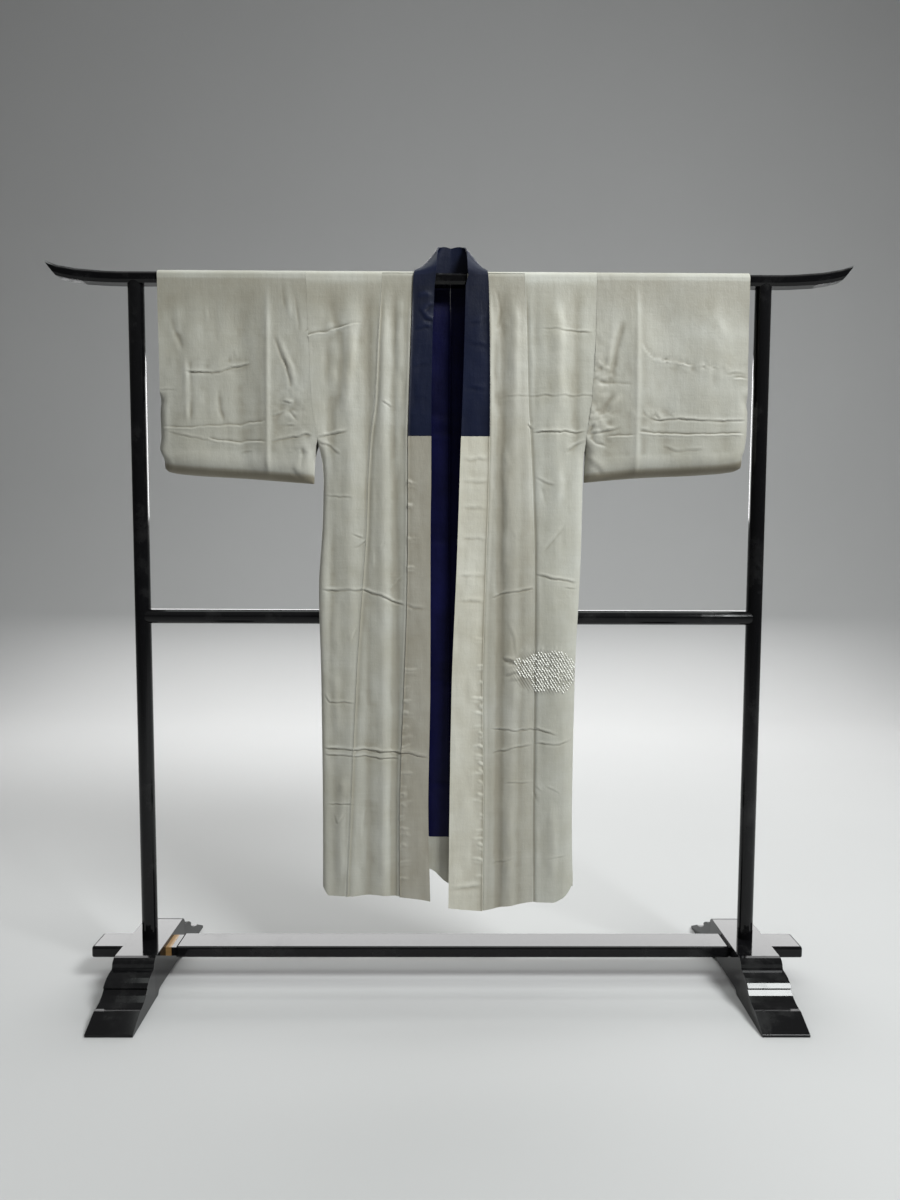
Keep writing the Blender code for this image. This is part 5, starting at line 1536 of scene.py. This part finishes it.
# The pieces that the dyed patch lies on
PATCHED = ("body_left", "gore_left")
LOOKS = {}
SHEEN = {"Sheen Weight": 0.15, "Sheen Roughness": 0.4, "Specular IOR Level": 0.4}
SATIN_SHEEN = {"Sheen Weight": 0.02, "Sheen Roughness": 0.35, "Specular IOR Level": 0.2}
NO_SHEEN = {"Sheen Weight": 0.0, "Specular IOR Level": 0.12}
SILK_ROUGHNESS = 0.54
SILK_SLUB = 0.08
# Other cloths: name, darker tone as a share of the colour, roughness, slub, height of rumples, shine
CLOTHS = {
    "satin": ("collar_satin", 0.75, 0.44, 0.08, 0.0005, SATIN_SHEEN),
    "lining": ("lining_silk", 0.45, 0.46, 0.12, 0.0006, NO_SHEEN),
    "knots": ("resist_white", 0.85, 0.6, 0.08, 0.0002, SHEEN),
}


def plain_look(cloth, kind, groups):
    """The look of a cloth of one colour, which is named like its setting."""
    name, share, roughness, slub, rumple, shine = CLOTHS[kind]
    colour = getattr(cloth, kind)
    tones = (colour, [share * part for part in colour])
    return cloth_look(name, groups, tones, roughness, slub, rumple, shine)


def silk_tones_with_painted_light(cloth, piece):
    """The light and the dark tone of one silk piece, with its painted light and shade."""
    tone, warmth = SILK_PAINTED_LIGHT[piece]
    tint = (tone * (1.0 + warmth), tone, tone * (1.0 - warmth))
    return [[part * c for part, c in zip(tint, base)] for base in (cloth.silk, cloth.silk_shade)]


class KIMONO_OT_looks(bpy.types.Operator):
    """Make the silk, satin, lining and lacquer"""
    bl_idname = "kimono.looks"
    bl_label = "Cloth and lacquer"

    def execute(self, context):
        cloth = context.scene.kimono_cloth
        stand = context.scene.kimono_stand
        groups = {
            "weave": weave_group(),
            "crinkle": crinkle_group(),
            "wear": wear_group(),
            "patch": patch_gap_shade_group(),
        }
        # Lit and shaded copies of the silk, one for each piece
        for piece in SILK_PAINTED_LIGHT:
            tones = silk_tones_with_painted_light(cloth, piece)
            LOOKS[piece] = cloth_look(
                f"silk_{piece}", groups, tones, SILK_ROUGHNESS, SILK_SLUB, cloth.rumple, SHEEN,
                patch=piece in PATCHED,
            )
        LOOKS["satin_collar"] = plain_look(cloth, "satin", groups)
        lining = plain_look(cloth, "lining", groups)
        for side in SIGN:
            LOOKS[f"back_lining_{side}"] = lining
        LOOKS["knots"] = plain_look(cloth, "knots", groups)
        LOOKS["lacquer"] = lacquer_look("black_lacquer", groups, stand.lacquer)
        LOOKS["base_bar"] = lacquer_look("bar_lacquer", groups, stand.lacquer, stand.bare_from)
        return {"FINISHED"}


class KIMONO_OT_stand(bpy.types.Operator):
    """Give the stand its lacquer and its bare tenon"""
    bl_idname = "kimono.stand"
    bl_label = "Stand"

    def execute(self, context):
        names = ["beam", "mid_rail", "base_bar"]
        for side in SIGN:
            names += [f"post_{side}", f"bar_end_{side}", f"foot_{side}"]
        for name in names:
            dress(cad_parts[name].data, LOOKS.get(name, LOOKS["lacquer"]))
        return {"FINISHED"}


class EachSide:
    """Shared by the steps that build the same pieces for the left and the right."""

    def execute(self, context):
        for side in SIGN:
            for build in self.builds:
                build(side)
        return {"FINISHED"}


class KIMONO_OT_bodies(EachSide, bpy.types.Operator):
    """Build both body panels, each one length over the shoulder"""
    bl_idname = "kimono.bodies"
    bl_label = "Body panels"
    builds = (build_body,)


class KIMONO_OT_patch(bpy.types.Operator):
    """Build the resist-dyed patch's raised knots"""
    bl_idname = "kimono.patch"
    bl_label = "Dyed patch"

    def execute(self, context):
        build_knots()
        return {"FINISHED"}


class KIMONO_OT_gores(EachSide, bpy.types.Operator):
    """Build both front gores"""
    bl_idname = "kimono.gores"
    bl_label = "Front gores"
    builds = (build_gore,)


class KIMONO_OT_sleeves(EachSide, bpy.types.Operator):
    """Build both sleeves"""
    bl_idname = "kimono.sleeves"
    bl_label = "Sleeves"
    builds = (build_sleeve,)


class KIMONO_OT_bands(EachSide, bpy.types.Operator):
    """Build both front bands"""
    bl_idname = "kimono.bands"
    bl_label = "Front bands"
    builds = (build_band,)


class KIMONO_OT_collar(bpy.types.Operator):
    """Build the satin collar"""
    bl_idname = "kimono.collar"
    bl_label = "Satin collar"

    def execute(self, context):
        build_collar()
        return {"FINISHED"}


class KIMONO_OT_linings(EachSide, bpy.types.Operator):
    """Build the back's linings and hem facings"""
    bl_idname = "kimono.linings"
    bl_label = "Linings and facings"
    builds = (build_lining, build_facing)


# Studio

BACKDROP_HALF_WIDTH = 9.0
BACKDROP_FRONT = -7.0
BACKDROP_BACK = 4.2
BACKDROP_TOP = 7.0
BACKDROP_BEND = 1.6
BACKDROP_STEPS = 14
FLOOR_PAINTED_SHADE = (-1.9, -3.2)
CAMERA_PLACE = (-0.010, -1.8163, 1.0028)
CAMERA_PITCH = 0.0671
CAMERA_YAW = 0.0064
CAMERA_ROLL = 0.0037
IMAGE_HEIGHT = 1200.0
IMAGE_MIDDLE = 601.6
# Each light: its share of the key's power, its width and height, its place, what it faces, its colour
LIGHTS = {
    "key": (1.0, (1.5, 1.2), (2.3, -2.3, 3.9), (0.0, 0.0, 1.0), (0.97, 1.0, 1.0)),
    "top": (0.20, (4.0, 1.6), (0.0, 0.4, 3.9), (0.0, 0.0, 0.6), (0.94, 1.0, 0.97)),
    "sky_panel": (0.45, (5.4, 1.0), (0.0, 3.3, 1.65), (0.0, 0.0, 0.2), (1.0, 1.0, 1.0)),
    "high_strip": (0.12, (5.4, 0.35), (0.0, 2.2, 3.0), (0.0, 0.0, 0.2), (1.0, 1.0, 1.0)),
}
SKY_LOW = (0.22, 0.22, 0.22, 1.0)
SKY_HIGH = (1.0, 1.0, 0.99, 1.0)
SKY_STRENGTH = 0.27


def make_backdrop(colour):
    """A floor that turns up into a wall behind the stand."""
    profile = [(BACKDROP_FRONT, 0.0)]
    for index in range(BACKDROP_STEPS + 1):
        angle = 0.5 * math.pi * index / BACKDROP_STEPS
        y = BACKDROP_BACK - BACKDROP_BEND + BACKDROP_BEND * math.sin(angle)
        profile.append((y, BACKDROP_BEND * (1.0 - math.cos(angle))))
    profile.append((BACKDROP_BACK, BACKDROP_TOP))
    form = bmesh.new()
    rows = []
    for y, z in profile:
        rows.append([form.verts.new((x, y, z)) for x in (-BACKDROP_HALF_WIDTH, BACKDROP_HALF_WIDTH)])
    for near, far in zip(rows, rows[1:]):
        form.faces.new((near[0], near[1], far[1], far[0]))
    mesh = mesh_from(form, "backdrop")
    look, w, surface = new_look("backdrop_paper", 0.9, {"Specular IOR Level": 0.1})
    spot = w.place()
    blotch = w.noise(spot, 1.3, 2.0)
    tone = w.mix(blotch, solid_colour(colour, 0.96), solid_colour(colour))
    # Painted shade: the floor darkens far in front of the stand
    near = w.remap(w.parts(spot)["Y"], *FLOOR_PAINTED_SHADE)
    w.join(w.mix(near, tone, solid_colour(colour, 0.4)), surface["Base Color"])
    dress(mesh, look)
    place_in_scene("backdrop", mesh)


def add_light(name, power, size, spot, target, colour):
    lamp = bpy.data.lights.new(name, "AREA")
    lamp.energy = power
    lamp.shape = "RECTANGLE"
    lamp.size, lamp.size_y = size
    lamp.color = colour
    item = place_in_scene(name, lamp)
    item.location = spot
    aim = Vector(target) - Vector(spot)
    item.rotation_euler = aim.to_track_quat("-Z", "Y").to_euler()


def add_world():
    """A soft sky: bright overhead, mid grey round about."""
    world = bpy.data.worlds.new("studio_sky")
    bpy.context.scene.world = world
    world.use_nodes = True
    w = Wiring(world.node_tree)
    ground = world.node_tree.nodes["Background"]
    parts = w.parts(w.add("ShaderNodeTexCoord").outputs["Generated"])
    climb = w.remap(parts["Z"], 0.05, 0.75)
    w.join(w.mix(climb, SKY_LOW, SKY_HIGH), ground.inputs["Color"])
    ground.inputs["Strength"].default_value = SKY_STRENGTH


def add_camera(lens):
    forward = Vector((
        math.sin(CAMERA_YAW) * math.cos(CAMERA_PITCH),
        math.cos(CAMERA_YAW) * math.cos(CAMERA_PITCH),
        -math.sin(CAMERA_PITCH),
    ))
    level = Vector((math.cos(CAMERA_YAW), -math.sin(CAMERA_YAW), 0.0))
    upward = level.cross(forward)
    right = math.cos(CAMERA_ROLL) * level + math.sin(CAMERA_ROLL) * upward
    top = math.cos(CAMERA_ROLL) * upward - math.sin(CAMERA_ROLL) * level
    turn = Matrix((right, top, -forward)).transposed()
    data = bpy.data.cameras.new("camera")
    data.sensor_fit = "VERTICAL"
    data.sensor_height = 36.0
    data.lens = lens
    data.shift_y = (IMAGE_MIDDLE - 0.5 * IMAGE_HEIGHT) / IMAGE_HEIGHT
    data.clip_end = 60.0
    camera = place_in_scene("camera", data)
    camera.matrix_world = Matrix.Translation(CAMERA_PLACE) @ turn.to_4x4()
    bpy.context.scene.camera = camera


class KIMONO_OT_studio(bpy.types.Operator):
    """Set the floor, the lights and the camera"""
    bl_idname = "kimono.studio"
    bl_label = "Studio"

    def execute(self, context):
        studio = context.scene.kimono_studio
        make_backdrop(studio.floor)
        add_world()
        for name, (share, *rest) in LIGHTS.items():
            add_light(name, share * studio.key_power, *rest)
        add_camera(studio.lens)
        context.scene.view_settings.view_transform = "Standard"
        return {"FINISHED"}


class KIMONO_PT_panel(bpy.types.Panel):
    """Sizes, colours and steps of the kimono"""
    bl_idname = "KIMONO_PT_panel"
    bl_label = "Kimono"
    bl_space_type = "VIEW_3D"
    bl_region_type = "UI"
    bl_category = "Kimono"

    def draw(self, context):
        for group in ("kimono_cloth", "kimono_stand", "kimono_studio"):
            settings = getattr(context.scene, group)
            box = self.layout.box()
            for key in settings.__annotations__:
                box.prop(settings, key)
        for step in STEPS:
            self.layout.operator(step.bl_idname)


SETTINGS = {
    "kimono_cloth": ClothSettings,
    "kimono_stand": StandSettings,
    "kimono_studio": StudioSettings,
}
STEPS = (
    KIMONO_OT_looks,
    KIMONO_OT_studio,
    KIMONO_OT_stand,
    KIMONO_OT_bodies,
    KIMONO_OT_patch,
    KIMONO_OT_gores,
    KIMONO_OT_sleeves,
    KIMONO_OT_bands,
    KIMONO_OT_collar,
    KIMONO_OT_linings,
)


def register():
    for kind in (*SETTINGS.values(), *STEPS, KIMONO_PT_panel):
        bpy.utils.register_class(kind)
    for name, kind in SETTINGS.items():
        setattr(bpy.types.Scene, name, bpy.props.PointerProperty(type=kind))


def unregister():
    for name in SETTINGS:
        delattr(bpy.types.Scene, name)
    for kind in (KIMONO_PT_panel, *reversed(STEPS), *SETTINGS.values()):
        bpy.utils.unregister_class(kind)


def main():
    register()
    for step in STEPS:
        group, name = step.bl_idname.split(".")
        getattr(getattr(bpy.ops, group), name)()


if __name__ == "__main__":
    main()
